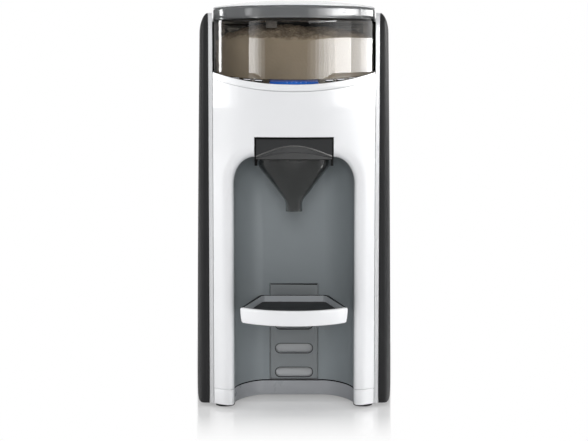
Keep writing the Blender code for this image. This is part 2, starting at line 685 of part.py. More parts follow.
def control_panel(black, blue, board_green, key_black):
    shares = spread(-1, 1, PANEL_STEPS + 1)
    panel = lofted("control_panel", panel_rings(shares, 0, 1, 0, PANEL_THICKNESS), black)
    cut(panel, lofted("display_tool", display_rings(FIT, OVERRUN, 2 * OVERRUN)))
    lofted("display_window", display_rings(0, 0, PANEL_THICKNESS - FIT), blue)
    board_top = BOARD_POCKET_Z + FIT + BOARD_THICKNESS
    sector = []
    for radius, sign in ((BOARD_POCKET_INNER_RADIUS + FIT, 1), (BOARD_POCKET_OUTER_RADIUS - FIT, -1)):
        for k in range(13):
            a = sign * (BOARD_POCKET_SWEEP - FIT / radius) * (k / 6 - 1)
            sector.append((radius * sin(a), -radius * cos(a)))
    prism("display_board", sector, board_top - BOARD_THICKNESS, board_top, board_green)
    for side, sign in (("left", -1), ("right", 1)):
        for number, angle in enumerate(KEY_ANGLES, 1):
            name = f"key_{side}_{number}"
            rings = key_rings(sign * angle, 0, board_top + KEY_TRAVEL + FIT, KEY_PROUD)
            centre = sum((Vector(p) for p in rings[1]), Vector()) / len(rings[1])
            lofted(name, rings, key_black, origin=tuple(centre))
            cut(panel, lofted(f"{name}_tool", key_rings(sign * angle, FIT, DECK_LOW_Z, OVERRUN)))


def deck(white):
    """The white deck: a floor for the container, a step for the panel and a pocket for its board."""
    top = seat_height(CHASSIS_Y) + WALL
    body = prism("container_deck", body_outline(BEZEL_DEPTH + FIT, CHASSIS_Y - FIT), DECK_LOW_Z, top, white)
    rear_edge = -SEAT_RADIUS * cos(PANEL_SWEEP)
    slope = [(y, seat_height(y)) for y in (rear_edge, CHASSIS_Y + OVERRUN)]
    over = CASE_TOP_Z
    wide = PANEL_HALF_WIDTH
    rings = [[(x, slope[0][0], slope[0][1]), (x, slope[1][0], slope[1][1]), (x, slope[1][0], over),
              (x, slope[0][0], over)] for x in (-wide, wide)]
    cut(body, lofted("deck_slope_tool", rings))
    lift = -PANEL_THICKNESS - FIT
    step = []
    for share in spread(-STEP_SIDE_SHARE, STEP_SIDE_SHARE, PANEL_STEPS):
        back, front, _, _ = panel_rings([share], STEP_BACK_SHARE, STEP_FRONT_SHARE, lift, 0)[0]
        step.append([back, front, (front[0], front[1], over), (back[0], back[1], over)])
    cut(body, lofted("deck_step_tool", step))
    well = [(SEAT_RADIUS, WELL_FLOOR_Z), (SEAT_RADIUS, over)]
    cut(body, turned("well_tool", well, (0, 0, 0), ROUND_SIDES))
    hole = STIRRER_COLLAR_RADIUS
    cut(body, turned("well_hole_tool", [(hole, DECK_LOW_Z - OVERRUN), (hole, over)], (0, 0, 0), 24))
    outlet = [(CHUTE_BORE_RADIUS, DECK_LOW_Z - OVERRUN), (CHUTE_BORE_RADIUS, over)]
    cut(body, turned("deck_outlet_tool", outlet, (0, OUTLET_Y, 0), 16))
    sector = []
    for radius, sign in ((BOARD_POCKET_INNER_RADIUS, 1), (BOARD_POCKET_OUTER_RADIUS, -1)):
        for k in range(13):
            a = sign * BOARD_POCKET_SWEEP * (k / 6 - 1)
            sector.append((radius * sin(a), -radius * cos(a)))
    cut(body, prism("board_pocket_tool", sector, BOARD_POCKET_Z, over))


def frame_outline(z):
    """A side frame's plan at a height. Its front edge lies on the front arc, and draws back at the top."""
    back = top_corner(z)
    front = FRAME_FRONT_Y + back
    outer = FRAME_FRONT_X + FRAME_THICKNESS
    points = [(frame_x(front), front), (outer + frame_x(front) - FRAME_FRONT_X, front_y(outer) + back)]
    points += [(frame_x(y) + FRAME_THICKNESS, y) for y in (0, CASE_BACK_Y)]
    return points + [(frame_x(y), y) for y in (CASE_BACK_Y, 0)]


def top_corner(z):
    """How far the side covers' front edge draws back at their top corner."""
    over = max(z - (CASE_TOP_Z - FRAME_CORNER), 0)
    return FRAME_CORNER - sqrt(max(FRAME_CORNER**2 - over**2, 0))


def panel_ring(sign, z, inset):
    """A dark panel's plan at a height: a blunt front, then a swell to its widest place and back. With
    an inset it is the tool that hollows the panel, which reaches past the frame."""
    front = front_y(FRAME_FRONT_X + FRAME_THICKNESS) + FIT + top_corner(z + inset) + inset
    rear = CASE_BACK_Y - FIT - inset
    height = min(max((z + inset - CASE_TOP_Z) / PANEL_TOP_ROUND + 1, 0), 1)
    shrink = max(sqrt(1 - height**2), PANEL_TOP_FLAT_SHARE)
    taper = 1 - PANEL_TAPER_SHARE * (max(z, 0) / CASE_TOP_Z) ** PANEL_TAPER_POWER
    reach = (PANEL_HALF_WIDTH - FRAME_REAR_X - FRAME_THICKNESS - FIT) * taper * shrink - inset
    ring = []
    for k in range(PANEL_COLUMNS + 1):
        y = (front + rear) / 2 - (rear - front) / 2 * cos(pi * k / PANEL_COLUMNS)
        end, power = (front, PANEL_FRONT_POWER) if y < PANEL_WIDEST_Y else (rear, PANEL_REAR_POWER)
        share = min((y - PANEL_WIDEST_Y) / (end - PANEL_WIDEST_Y), 1)
        lean = PANEL_FRONT_SHARE + (1 - PANEL_FRONT_SHARE) * min(max(y / PANEL_WIDEST_Y, 0), 1)
        swell = lean * (1 - share**power) ** (1 / power)
        x = frame_x(y) + FRAME_THICKNESS + FIT
        ring.append((sign * (x + max(reach, FIT) * swell), y, z))
    for y in (rear, 0, front):
        x = frame_x(y) + FRAME_THICKNESS + FIT
        if inset or y == 0:
            ring.append((sign * (x - 2 * inset), y, z))
    return ring


def side_covers(white, dark):
    heights = spread(FOOT_HEIGHT, CASE_TOP_Z - FRAME_CORNER, 4)
    rounds = [CASE_TOP_Z - PANEL_TOP_ROUND * (1 - sin(a)) for a in PANEL_TOP_ANGLES]
    for side, sign in (("left", -1), ("right", 1)):
        rings = [[(sign * x, y, z) for x, y in frame_outline(z)] for z in heights + rounds]
        lofted(f"side_frame_{side}", rings, white)
        panel = lofted(f"side_panel_{side}", [panel_ring(sign, z, 0) for z in heights + rounds], dark)
        inside = [-OVERRUN] + heights[1:] + [z - WALL for z in rounds]
        cut(panel, lofted(f"panel_inside_tool_{side}", [panel_ring(sign, z, WALL) for z in inside]))


def bay_liner(grey):
    top = LINER_CEILING_Z + LINER_WALL
    low = BASE_TOP_Z - OVERRUN
    liner = prism("bay_liner", liner_plan(LINER_WALL, POST_BACK_Y + FIT), BASE_TOP_Z, top, grey)
    inside = prism("liner_inside_tool", liner_plan(0, POST_BACK_Y - OVERRUN), low, LINER_CEILING_Z)
    notch = box("liner_notch_tool", (-NOTCH_HALF_WIDTH, POST_BACK_Y - OVERRUN, LINER_CEILING_Z - OVERRUN),
                (NOTCH_HALF_WIDTH, NOTCH_BACK_Y, top + OVERRUN))
    half = SLOT_PANEL_HALF_WIDTH + FIT
    window = box("slot_window_tool", (-half, BAY_BACK_Y - OVERRUN / 2, low),
                 (half, BAY_BACK_Y + OVERRUN, SLOT_PANEL_TOP_Z + FIT))
    cut(liner, inside, notch, window)


def slot_panel(grey):
    half = SLOT_PANEL_HALF_WIDTH
    panel = box("slot_panel", (-half, BAY_BACK_Y, BASE_TOP_Z + FIT),
                (half, BAY_BACK_Y + SLOT_PANEL_DEPTH, SLOT_PANEL_TOP_Z), grey)
    for number in range(SLOT_COUNT):
        z = SLOT_LOW_Z + number * SLOT_SPACING
        rings = []
        for y in (BAY_BACK_Y - OVERRUN, BAY_BACK_Y + SLOT_DEPTH):
            rings.append([(x, y, z + dz) for x, dz in pill(SLOT_HALF_LENGTH, SLOT_HALF_HEIGHT)])
        cut(panel, lofted(f"slot_tool_{number}", rings))


def pill(half_length, half_height):
    """A stadium outline: two half circles joined by straight runs."""
    straight = half_length - half_height
    points = []
    for k in range(7):
        a = -pi / 2 + pi * k / 6
        points.append((straight + half_height * cos(a), half_height * sin(a)))
    return points + [(-x, -z) for x, z in points]


def lip_arc(inset, taper=0):
    """The tray lip's arc in plan, from left to right, moved in by inset. Each end is cut back by taper."""
    centre_y = TRAY_FRONT_Y + TRAY_LIP_RADIUS
    radius = TRAY_LIP_RADIUS - inset
    reach = asin((TRAY_FRONT_HALF_WIDTH - taper) / TRAY_LIP_RADIUS)
    return [(radius * sin(a), centre_y - radius * cos(a)) for a in spread(-reach, reach, 17)]


def tray(grey, white, dark):
    inner = lip_arc(TRAY_LIP_THICKNESS + FIT)
    side, chamfer = TRAY_FRONT_HALF_WIDTH - FIT, TRAY_BACK_CHAMFER

    def outline(rim):
        front = [(x * (1 - rim / TRAY_FRONT_HALF_WIDTH), y + rim) for x, y in inner]
        corners = [(side - rim, inner[-1][1] + rim),
                   (TRAY_BACK_HALF_WIDTH + chamfer - rim, TRAY_BACK_Y - chamfer - rim),
                   (TRAY_BACK_HALF_WIDTH - rim, TRAY_BACK_Y - rim)]
        return front + corners + [(-x, y) for x, y in reversed(corners)]

    origin = (0, TRAY_BACK_Y, TRAY_SLOT_Z)
    body = prism("tray_body", outline(0), TRAY_LOW_Z + FIT, TRAY_TOP_Z - FIT, grey, origin)
    floor = TRAY_LOW_Z + TRAY_FLOOR_THICKNESS
    cut(body, prism("tray_recess_tool", outline(TRAY_RIM), floor, TRAY_TOP_Z + OVERRUN))
    peg = []
    peg_plan = pill(SLOT_HALF_LENGTH - 2 * FIT, SLOT_HALF_HEIGHT - FIT)
    for y in (TRAY_BACK_Y - TRAY_RIM / 2, TRAY_BACK_Y + PEG_LENGTH):
        peg.append([(x, y, TRAY_SLOT_Z + dz) for x, dz in peg_plan])
    join(body, lofted("tray_peg", peg))
    mat = outline(TRAY_RIM + FIT)
    prism("tray_mat", mat, floor + FIT, floor + FIT + TRAY_MAT_THICKNESS, dark, origin)
    edge = TRAY_LIP_THICKNESS / 4
    rings = []
    insets = (0, edge, TRAY_LIP_THICKNESS)
    arcs = [lip_arc(inset, taper) for taper in (0, TRAY_LIP_TAPER) for inset in insets]
    for face, top_edge, back, low_face, low_edge, low_back in zip(*arcs):
        rings.append([(*low_edge, TRAY_LOW_Z), (*low_back, TRAY_LOW_Z), (*back, TRAY_TOP_Z),
                      (*top_edge, TRAY_TOP_Z), (*face, TRAY_TOP_Z - edge), (*low_face, TRAY_LOW_Z + edge)])
    lofted("tray_lip", rings, white, origin)


def funnel(smoke, dark):
    count = 28
    flange_z = LINER_CEILING_Z + LINER_WALL + FIT

    def ring(z, inset):
        half_x, half_y = FUNNEL_HALF_WIDTH - inset, FUNNEL_HALF_DEPTH - inset
        return oval(0, FUNNEL_CENTRE_Y, z, half_x, half_y, count, FUNNEL_PLAN_POWER)

    def spout(z, radius):
        return oval(0, SPOUT_Y, z, radius, radius, count)

    def flange(z):
        return oval(0, FUNNEL_CENTRE_Y, z, FLANGE_HALF_WIDTH, FLANGE_HALF_DEPTH, count, FLANGE_PLAN_POWER)

    origin = (0, SPOUT_Y, flange_z)
    bore = SPOUT_RADIUS - FUNNEL_WALL
    flange_top = flange_z + FLANGE_THICKNESS
    rings = [spout(SPOUT_LOW_Z, SPOUT_RADIUS), spout(FUNNEL_CONE_LOW_Z, SPOUT_RADIUS)]
    rings += [ring(FUNNEL_CONE_TOP_Z, 0), ring(flange_z, 0), flange(flange_z), flange(flange_top)]
    rings += [ring(flange_top, 0), ring(FUNNEL_TOP_Z, 0), ring(FUNNEL_TOP_Z, FUNNEL_WALL)]
    rings += [ring(FUNNEL_CONE_TOP_Z, FUNNEL_WALL), spout(FUNNEL_CONE_LOW_Z, bore), spout(SPOUT_LOW_Z, bore)]
    lofted("funnel", rings, smoke, origin, through=True)
    back = FUNNEL_CENTRE_Y - FLANGE_HALF_DEPTH - FIT
    rings = []
    for x in spread(-COVER_HALF_WIDTH, COVER_HALF_WIDTH, 13):
        rings.append([(x, front_y(x), COVER_LOW_Z), (x, back, COVER_LOW_Z), (x, back, COVER_TOP_Z),
                      (x, front_y(x), COVER_TOP_Z)])
    cover = lofted("funnel_cover", rings, dark, origin)
    inner = COVER_HALF_WIDTH - COVER_LEG_WIDTH
    cut(cover, box("cover_leg_tool", (-inner, WINDOW_EDGE_Y - WINDOW_HEIGHT, COVER_LOW_Z - OVERRUN),
                   (inner, back + OVERRUN, COVER_LOW_Z + COVER_LEG_HEIGHT)))


def container(clear, grey):
    count = ROUND_SIDES
    inner = CONTAINER_RADIUS - CONTAINER_WALL
    ledge = CONTAINER_RADIUS - CONTAINER_LEDGE
    profile = [(CONTAINER_RADIUS, CONTAINER_TOP_Z), (CONTAINER_RADIUS, CONTAINER_LOW_Z),
               (ledge, CONTAINER_LOW_Z), (ledge, LEDGE_Z), (inner, LEDGE_Z), (inner, CONTAINER_TOP_Z)]
    turned("powder_container", profile, (0, 0, 0), count, clear, through=True)
    low, high = LEDGE_Z + FIT, LEDGE_Z + FIT + CONTAINER_WALL
    radius, bore = inner - FIT, STIRRER_SHAFT_RADIUS + FIT
    profile = [(radius, low), (radius, high), (bore, high), (bore, low)]
    floor = turned("container_floor", profile, (0, 0, 0), count, grey, through=True)
    hole = [(OUTLET_RADIUS, low - OVERRUN), (OUTLET_RADIUS, high + OVERRUN)]
    cut(floor, turned("outlet_tool", hole, (0, OUTLET_Y, 0), 20))


def stirrer(grey, dark):
    """The dosing wheel with its pockets, and the stirrer whose shaft ends in a hexagon."""
    bore = STIRRER_SHAFT_RADIUS + FIT
    top = WHEEL_Z + WHEEL_THICKNESS
    profile = [(WHEEL_RADIUS, WHEEL_Z), (WHEEL_RADIUS, top), (bore, top), (bore, WHEEL_Z)]
    wheel = turned("dosing_wheel", profile, (0, 0, 0), 40, dark, through=True)
    for k in range(WHEEL_POCKETS):
        a = -pi / 2 + 2 * pi * k / WHEEL_POCKETS
        centre = (-OUTLET_Y * cos(a), -OUTLET_Y * sin(a), 0)
        hole = [(WHEEL_POCKET_RADIUS, WHEEL_Z - FIT / 2), (WHEEL_POCKET_RADIUS, top + FIT)]
        cut(wheel, turned(f"pocket_tool_{k}", hole, centre, 10, turn=a + pi / 20))
    shaft_low = COUPLING_TOP_Z + FIT
    arm_top = ARM_Z + STIRRER_ARM_HEIGHT
    profile = [(STIRRER_SHAFT_RADIUS, shaft_low), (STIRRER_SHAFT_RADIUS, top + FIT),
               (STIRRER_COLLAR_RADIUS, top + FIT), (STIRRER_COLLAR_RADIUS, arm_top + FIT),
               (STIRRER_SHAFT_RADIUS, arm_top + STIRRER_COLLAR_RADIUS)]
    body = turned("stirrer", profile, (0, 0, 0), 24, grey)
    hexagon = [(HEX_RADIUS, shaft_low - HEX_LENGTH), (HEX_RADIUS, shaft_low + FIT)]
    join(body, turned("stirrer_hexagon", hexagon, (0, 0, 0), HEX_SIDES))
    for k in range(STIRRER_ARMS):
        a = pi / 2 + 2 * pi * k / STIRRER_ARMS
        along, across = Vector((cos(a), sin(a), 0)), Vector((-sin(a), cos(a), 0)) * STIRRER_ARM_WIDTH / 2
        start = along * STIRRER_SHAFT_RADIUS / 2
        end = along * STIRRER_ARM_LENGTH
        outline = [start - across, end - across, end + across, start + across]
        join(body, prism(f"stirrer_arm_{k}", [(p.x, p.y) for p in outline], ARM_Z, arm_top))
    a = pi / 2 + 2 * pi / STIRRER_ARMS
    centre = (STIRRER_POST_RADIUS_FROM_AXIS * cos(a), STIRRER_POST_RADIUS_FROM_AXIS * sin(a), 0)
    post = [(STIRRER_POST_RADIUS, ARM_Z + FIT), (STIRRER_POST_RADIUS, STIRRER_POST_TOP_Z)]
    join(body, turned("stirrer_post", post, centre, 12))


def lid(white, smoke, rubber):
    count = ROUND_SIDES
    band_top = LID_LOW_Z + LID_BAND_HEIGHT
    inner = LID_RADIUS - LID_BAND_THICKNESS
    skirt = inner - FIT
    low = LID_LOW_Z - LID_SKIRT_DEPTH
    edge_z = band_top + FIT
    dome_z = edge_z + LID_DOME_RISE
    seal_low = low + SEAL_HEIGHT / 2
    groove, groove_top = skirt - SEAL_GROOVE, seal_low + SEAL_HEIGHT + FIT
    throat = groove - WALL
    profile = [(FIT, dome_z)]
    for share in (1 / 4, 2 / 4, 3 / 4, 1):
        r = (LID_RADIUS - LID_EDGE) * share
        profile.append((r, dome_z - (LID_DOME_RISE - LID_EDGE) * share**LID_DOME_POWER))
    profile += [(LID_RADIUS, edge_z + LID_EDGE / 2), (LID_RADIUS - FIT, edge_z), (skirt, edge_z)]
    profile += [(skirt, groove_top), (groove, groove_top), (groove, seal_low - FIT)]
    profile += [(skirt, seal_low - FIT), (skirt, low), (throat, low), (throat, edge_z - FIT)]
    profile += [(throat / 2, edge_z + LID_DOME_RISE / 2 - FIT), (FIT, dome_z - WALL)]
    turned("lid", profile, (0, 0, 0), count, white)
    outer = [(LID_RADIUS, LID_LOW_Z + FIT), (LID_RADIUS, band_top - FIT), (LID_RADIUS - FIT, band_top)]
    profile = outer + [(inner, band_top), (inner, LID_LOW_Z), (LID_RADIUS - FIT, LID_LOW_Z)]
    turned("lid_band", profile, (0, 0, 0), count, smoke, through=True)
    seal_outer = CONTAINER_RADIUS - CONTAINER_WALL - FIT
    seal_inner = groove + FIT
    profile = [(seal_outer, seal_low + FIT), (seal_outer, seal_low + SEAL_HEIGHT - FIT),
               (seal_inner, seal_low + SEAL_HEIGHT), (seal_inner, seal_low)]
    turned("lid_seal", profile, (0, 0, 0), 36, rubber, through=True)


def gear_outline(teeth, phase):
    pitch = GEAR_MODULE * teeth / 2
    root, tip = pitch - GEAR_ROOT_SHARE * GEAR_MODULE, pitch + GEAR_TIP_SHARE * GEAR_MODULE
    step = 2 * pi / teeth
    tooth = ((root, -TOOTH_ROOT_SHARE), (tip, -TOOTH_TIP_SHARE), (tip, TOOTH_TIP_SHARE),
             (root, TOOTH_ROOT_SHARE))
    points = []
    for k in range(teeth):
        for radius, share in tooth:
            a = phase + step * (k + share)
            points.append((radius * cos(a), radius * sin(a)))
    return points


def drive(nylon, brass, steel, dark):
    gear_low = GEAR_TOP_Z - GEAR_WIDTH
    coupling_low = COUPLING_TOP_Z - COUPLING_HEIGHT
    plate_top, plate_low = MOTOR_PLATE_Z, MOTOR_PLATE_Z - MOTOR_PLATE_THICKNESS
    profile = [(COUPLING_RADIUS, COUPLING_TOP_Z), (COUPLING_RADIUS, coupling_low),
               (GEAR_SHAFT_RADIUS, coupling_low), (GEAR_SHAFT_RADIUS, plate_low - FIT)]
    coupling = turned("drive_coupling", profile, (0, 0, 0), 24, steel)
    socket = [(HEX_RADIUS + FIT, COUPLING_TOP_Z - HEX_LENGTH), (HEX_RADIUS + FIT, COUPLING_TOP_Z + OVERRUN)]
    cut(coupling, turned("coupling_socket_tool", socket, (0, 0, 0), HEX_SIDES))
    gear = prism("drive_gear", gear_outline(GEAR_TEETH, 0), gear_low, GEAR_TOP_Z, nylon)
    hole = [(GEAR_SHAFT_RADIUS + FIT, gear_low - OVERRUN), (GEAR_SHAFT_RADIUS + FIT, GEAR_TOP_Z + OVERRUN)]
    cut(gear, turned("gear_bore_tool", hole, (0, 0, 0), 24))
    origin = (PINION_X - FIT, 0, 0)
    outline = [(x + origin[0], y) for x, y in gear_outline(PINION_TEETH, pi / PINION_TEETH)]
    pinion = prism("motor_pinion", outline, gear_low, GEAR_TOP_Z, brass, origin)
    shaft = [(PINION_SHAFT_RADIUS, plate_low), (PINION_SHAFT_RADIUS, GEAR_TOP_Z + FIT)]
    join(pinion, turned("pinion_shaft", shaft, origin, 12))
    left = origin[0] - MOTOR_RADIUS - 2 * WALL
    front = -MOTOR_RADIUS - 2 * WALL
    right = HEATER_X - HEATER_RADIUS - WALL
    back = CHASSIS_Y - FIT
    plate = box("motor_plate", (left, front, plate_low), (right, back, plate_top), steel)
    flange_low = plate_low - MOTOR_RADIUS
    flange = box("motor_plate_flange", (left, back - WALL, flange_low), (right, back, plate_top - FIT))
    join(plate, flange)
    bush_hole = [(BUSH_RADIUS + FIT, plate_low - OVERRUN), (BUSH_RADIUS + FIT, plate_top + OVERRUN)]
    cut(plate, turned("bush_hole_tool", bush_hole, (0, 0, 0), 24))
    clear_hole = 2 * PINION_SHAFT_RADIUS
    motor_hole = [(clear_hole, plate_low - OVERRUN), (clear_hole, plate_top + OVERRUN)]
    cut(plate, turned("motor_hole_tool", motor_hole, origin, 16))
    collar, collar_low = BUSH_RADIUS + WALL / 2, plate_top + FIT
    bore = GEAR_SHAFT_RADIUS + FIT
    profile = [(collar, collar_low), (collar, collar_low + WALL / 2), (bore, collar_low + WALL / 2),
               (bore, plate_low), (BUSH_RADIUS, plate_low), (BUSH_RADIUS, collar_low)]
    turned("drive_bush", profile, (0, 0, 0), 24, brass, through=True)
    motor_top = plate_low - FIT
    motor_low = motor_top - MOTOR_LENGTH
    can = [(MOTOR_RADIUS - FIT, motor_top), (MOTOR_RADIUS, motor_top - FIT),
           (MOTOR_RADIUS, motor_low + WALL), (MOTOR_RADIUS - WALL, motor_low)]
    motor = turned("dosing_motor", can, origin, 20, dark)
    bore = [(PINION_SHAFT_RADIUS + FIT, motor_top - WALL), (PINION_SHAFT_RADIUS + FIT, motor_top + OVERRUN)]
    cut(motor, turned("motor_bore_tool", bore, origin, 16))


def chute_and_nozzle(white, grey):
    top = DECK_LOW_Z - FIT
    profile = [(CHUTE_RADIUS, top), (CHUTE_RADIUS, CHUTE_LOW_Z), (CHUTE_BORE_RADIUS, CHUTE_LOW_Z),
               (CHUTE_BORE_RADIUS, top)]
    turned("powder_chute", profile, (0, OUTLET_Y, 0), 24, white, through=True)
    profile = [(NOZZLE_RADIUS, top), (NOZZLE_RADIUS, NOZZLE_LOW_Z + WALL),
               (NOZZLE_BORE_RADIUS + WALL / 2, NOZZLE_LOW_Z)]
    nozzle = turned("water_nozzle", profile, (0, NOZZLE_Y, 0), 20, grey)
    z = NOZZLE_LOW_Z + 2 * NIPPLE_RADIUS + WALL
    nipple = [(NIPPLE_RADIUS, 0), (NIPPLE_RADIUS, NOZZLE_RADIUS + NIPPLE_LENGTH)]
    join(nozzle, turned("nozzle_nipple", nipple, (0, NOZZLE_Y, z), 12, axis="X"))
    bore = [(NOZZLE_BORE_RADIUS, NOZZLE_LOW_Z - OVERRUN), (NOZZLE_BORE_RADIUS, z)]
    cut(nozzle, turned("nozzle_bore_tool", bore, (0, NOZZLE_Y, 0), 12))
    return (NOZZLE_RADIUS + NIPPLE_LENGTH, NOZZLE_Y, z)


def smooth_path(points, count):
    """Points spaced along a smooth curve through the given ones."""
    given = [Vector(p) for p in points]
    given = [2 * given[0] - given[1]] + given + [2 * given[-1] - given[-2]]
    path = []
    spans = len(given) - 3
    for k in range(count):
        at = spans * k / (count - 1)
        i = min(int(at), spans - 1)
        t = at - i
        a, b, c, d = given[i : i + 4]
        square, cube = 2 * a - 5 * b + 4 * c - d, 3 * b - a - 3 * c + d
        path.append((2 * b + (c - a) * t + square * t**2 + cube * t**3) / 2)
    return path


def hose(name, points, finish, count=11, sides=7):
    """A hose with its bore, along a smooth curve through the points."""
    path = smooth_path(points, count)
    across = None
    outer, inner = [], []
    for k, point in enumerate(path):
        along = path[min(k + 1, count - 1)] - path[max(k - 1, 0)]
        if k in (0, count - 1):
            i = 0 if k == 0 else -2
            along = Vector(points[i + 1]) - Vector(points[i])
        along = along.normalized()
        if across is None:
            across = along.orthogonal().normalized()
        across = (across - along * across.dot(along)).normalized()
        up = along.cross(across)
        turns = [(cos(2 * pi * j / sides), sin(2 * pi * j / sides)) for j in range(sides)]
        outer.append([tuple(point + (across * c + up * s) * HOSE_RADIUS) for c, s in turns])
        inner.append([tuple(point + (across * c + up * s) * HOSE_BORE_RADIUS) for c, s in turns])
    lofted(name, outer + inner[::-1], finish, through=True)


def water_heater(steel):
    centre = (HEATER_X, HEATER_Y, 0)
    profile = [(HEATER_RADIUS - WALL, HEATER_LOW_Z), (HEATER_RADIUS, HEATER_LOW_Z + WALL),
               (HEATER_RADIUS, HEATER_TOP_Z - WALL), (HEATER_RADIUS - WALL, HEATER_TOP_Z)]
    heater = turned("water_heater", profile, centre, 20, steel)
    clamp_half = HEATER_RADIUS / 2
    nipple_reach = NIPPLE_LENGTH + WALL
    for name, end, turn in (("low", HEATER_LOW_Z, 1), ("high", HEATER_TOP_Z, -1)):
        z = end + turn * HEATER_RADIUS
        join(heater, box(f"heater_clamp_{name}", (HEATER_X - clamp_half, HEATER_Y, z - WALL),
                         (HEATER_X + clamp_half, CHASSIS_Y - FIT, z + WALL)))
        start = end + turn * WALL
        nipple = sorted([(NIPPLE_RADIUS, start), (NIPPLE_RADIUS, start - turn * nipple_reach)])
        join(heater, turned(f"heater_nipple_{name}", nipple, centre, 12))


def pump_and_hoses(hose_clear, dark, nozzle_end):
    """The pump, and the hoses from the tank to it, on to the heater and up to the nozzle."""
    pump_low = FOOT_HEIGHT + WALL + FIT
    pump_top = pump_low + PUMP_HEIGHT
    profile = [(PUMP_RADIUS, pump_low), (PUMP_RADIUS, pump_top - 2 * WALL), (PUMP_RADIUS - WALL, pump_top)]
    pump = turned("water_pump", profile, (PUMP_X, PUMP_Y, 0), 20, dark)
    inlet = [(NIPPLE_RADIUS, pump_top - WALL), (NIPPLE_RADIUS, pump_top + NIPPLE_LENGTH)]
    outlet_z = pump_low + PUMP_HEIGHT / 2
    outlet = [(NIPPLE_RADIUS, 0), (NIPPLE_RADIUS, PUMP_RADIUS + NIPPLE_LENGTH)]
    join(pump, turned("pump_inlet", inlet, (PUMP_X, PUMP_Y, 0), 12))
    join(pump, turned("pump_outlet", outlet, (PUMP_X, PUMP_Y, outlet_z), 12, axis="X"))
    lead = NIPPLE_LENGTH
    shelf_low = TANK_SHELF_Z - SHELF_THICKNESS
    port_z = shelf_low - NIPPLE_LENGTH - FIT
    inlet_z = pump_top + NIPPLE_LENGTH + FIT
    middle_z = (port_z + inlet_z) / 2
    route = [(PORT_X, TANK_Y, port_z), (PORT_X, TANK_Y, port_z - lead), (PORT_X / 2, TANK_Y, middle_z),
             (PUMP_X, PUMP_Y, inlet_z + lead), (PUMP_X, PUMP_Y, inlet_z)]
    hose("tank_hose", route, hose_clear)
    outlet_x = PUMP_X + PUMP_RADIUS + NIPPLE_LENGTH + FIT
    heater_in = HEATER_LOW_Z - NIPPLE_LENGTH - FIT
    route = [(outlet_x, PUMP_Y, outlet_z), (outlet_x + lead, PUMP_Y, outlet_z),
             (outlet_x + 3 * lead / 2, (PUMP_Y + CHASSIS_BACK_Y) / 2, outlet_z),
             (HEATER_X, CHASSIS_Y, outlet_z), (HEATER_X, HEATER_Y + lead / 2, (outlet_z + heater_in) / 2),
             (HEATER_X, HEATER_Y, heater_in - lead / 2), (HEATER_X, HEATER_Y, heater_in)]
    hose("pump_hose", route, hose_clear, 17)
    heater_out = HEATER_TOP_Z + NIPPLE_LENGTH + FIT
    end_x, end_y, end_z = nozzle_end
    end_x += FIT
    route = [(HEATER_X, HEATER_Y, heater_out), (HEATER_X, HEATER_Y, heater_out + lead),
             (HEATER_X, HEATER_Y / 2, end_z - 2 * lead), (HEATER_X - lead, -HEATER_Y / 2, end_z),
             (end_x + 3 * lead, (end_y + OUTLET_Y) / 2, end_z), (end_x + lead, end_y, end_z),
             (end_x, end_y, end_z)]
    hose("nozzle_hose", route, hose_clear, 19)


def chassis(white, board_green):
    half = FRAME_REAR_X - FIT
    wall = box("chassis_wall", (-half, CHASSIS_Y, BASE_TOP_Z), (half, CHASSIS_BACK_Y, CHASSIS_TOP_Z), white)
    outlet_z = FOOT_HEIGHT + WALL + FIT + PUMP_HEIGHT / 2
    hole = [(2 * HOSE_RADIUS, CHASSIS_Y - OVERRUN), (2 * HOSE_RADIUS, CHASSIS_BACK_Y + OVERRUN)]
    cut(wall, turned("hose_hole_tool", hole, (HEATER_X, 0, outlet_z), 16, axis="Y"))
    board_y = CHASSIS_Y - FIT - STANDOFF_LENGTH
    low_x, high_x = MAIN_BOARD_X - MAIN_BOARD_WIDTH / 2, MAIN_BOARD_X + MAIN_BOARD_WIDTH / 2
    low_z, high_z = MAIN_BOARD_LOW_Z, MAIN_BOARD_LOW_Z + MAIN_BOARD_HEIGHT
    low, high = (low_x, board_y - BOARD_THICKNESS, low_z), (high_x, board_y, high_z)
    board = box("main_board", low, high, board_green)
    inset = 2 * STANDOFF_RADIUS
    pillar = [(STANDOFF_RADIUS, board_y - BOARD_THICKNESS / 2), (STANDOFF_RADIUS, CHASSIS_Y - FIT)]
    for end, z in (("low", low_z + inset), ("high", high_z - inset)):
        for side, x in (("left", low_x + inset), ("right", high_x - inset)):
            join(board, turned(f"standoff_{end}_{side}", pillar, (x, 0, z), 8, axis="Y"))


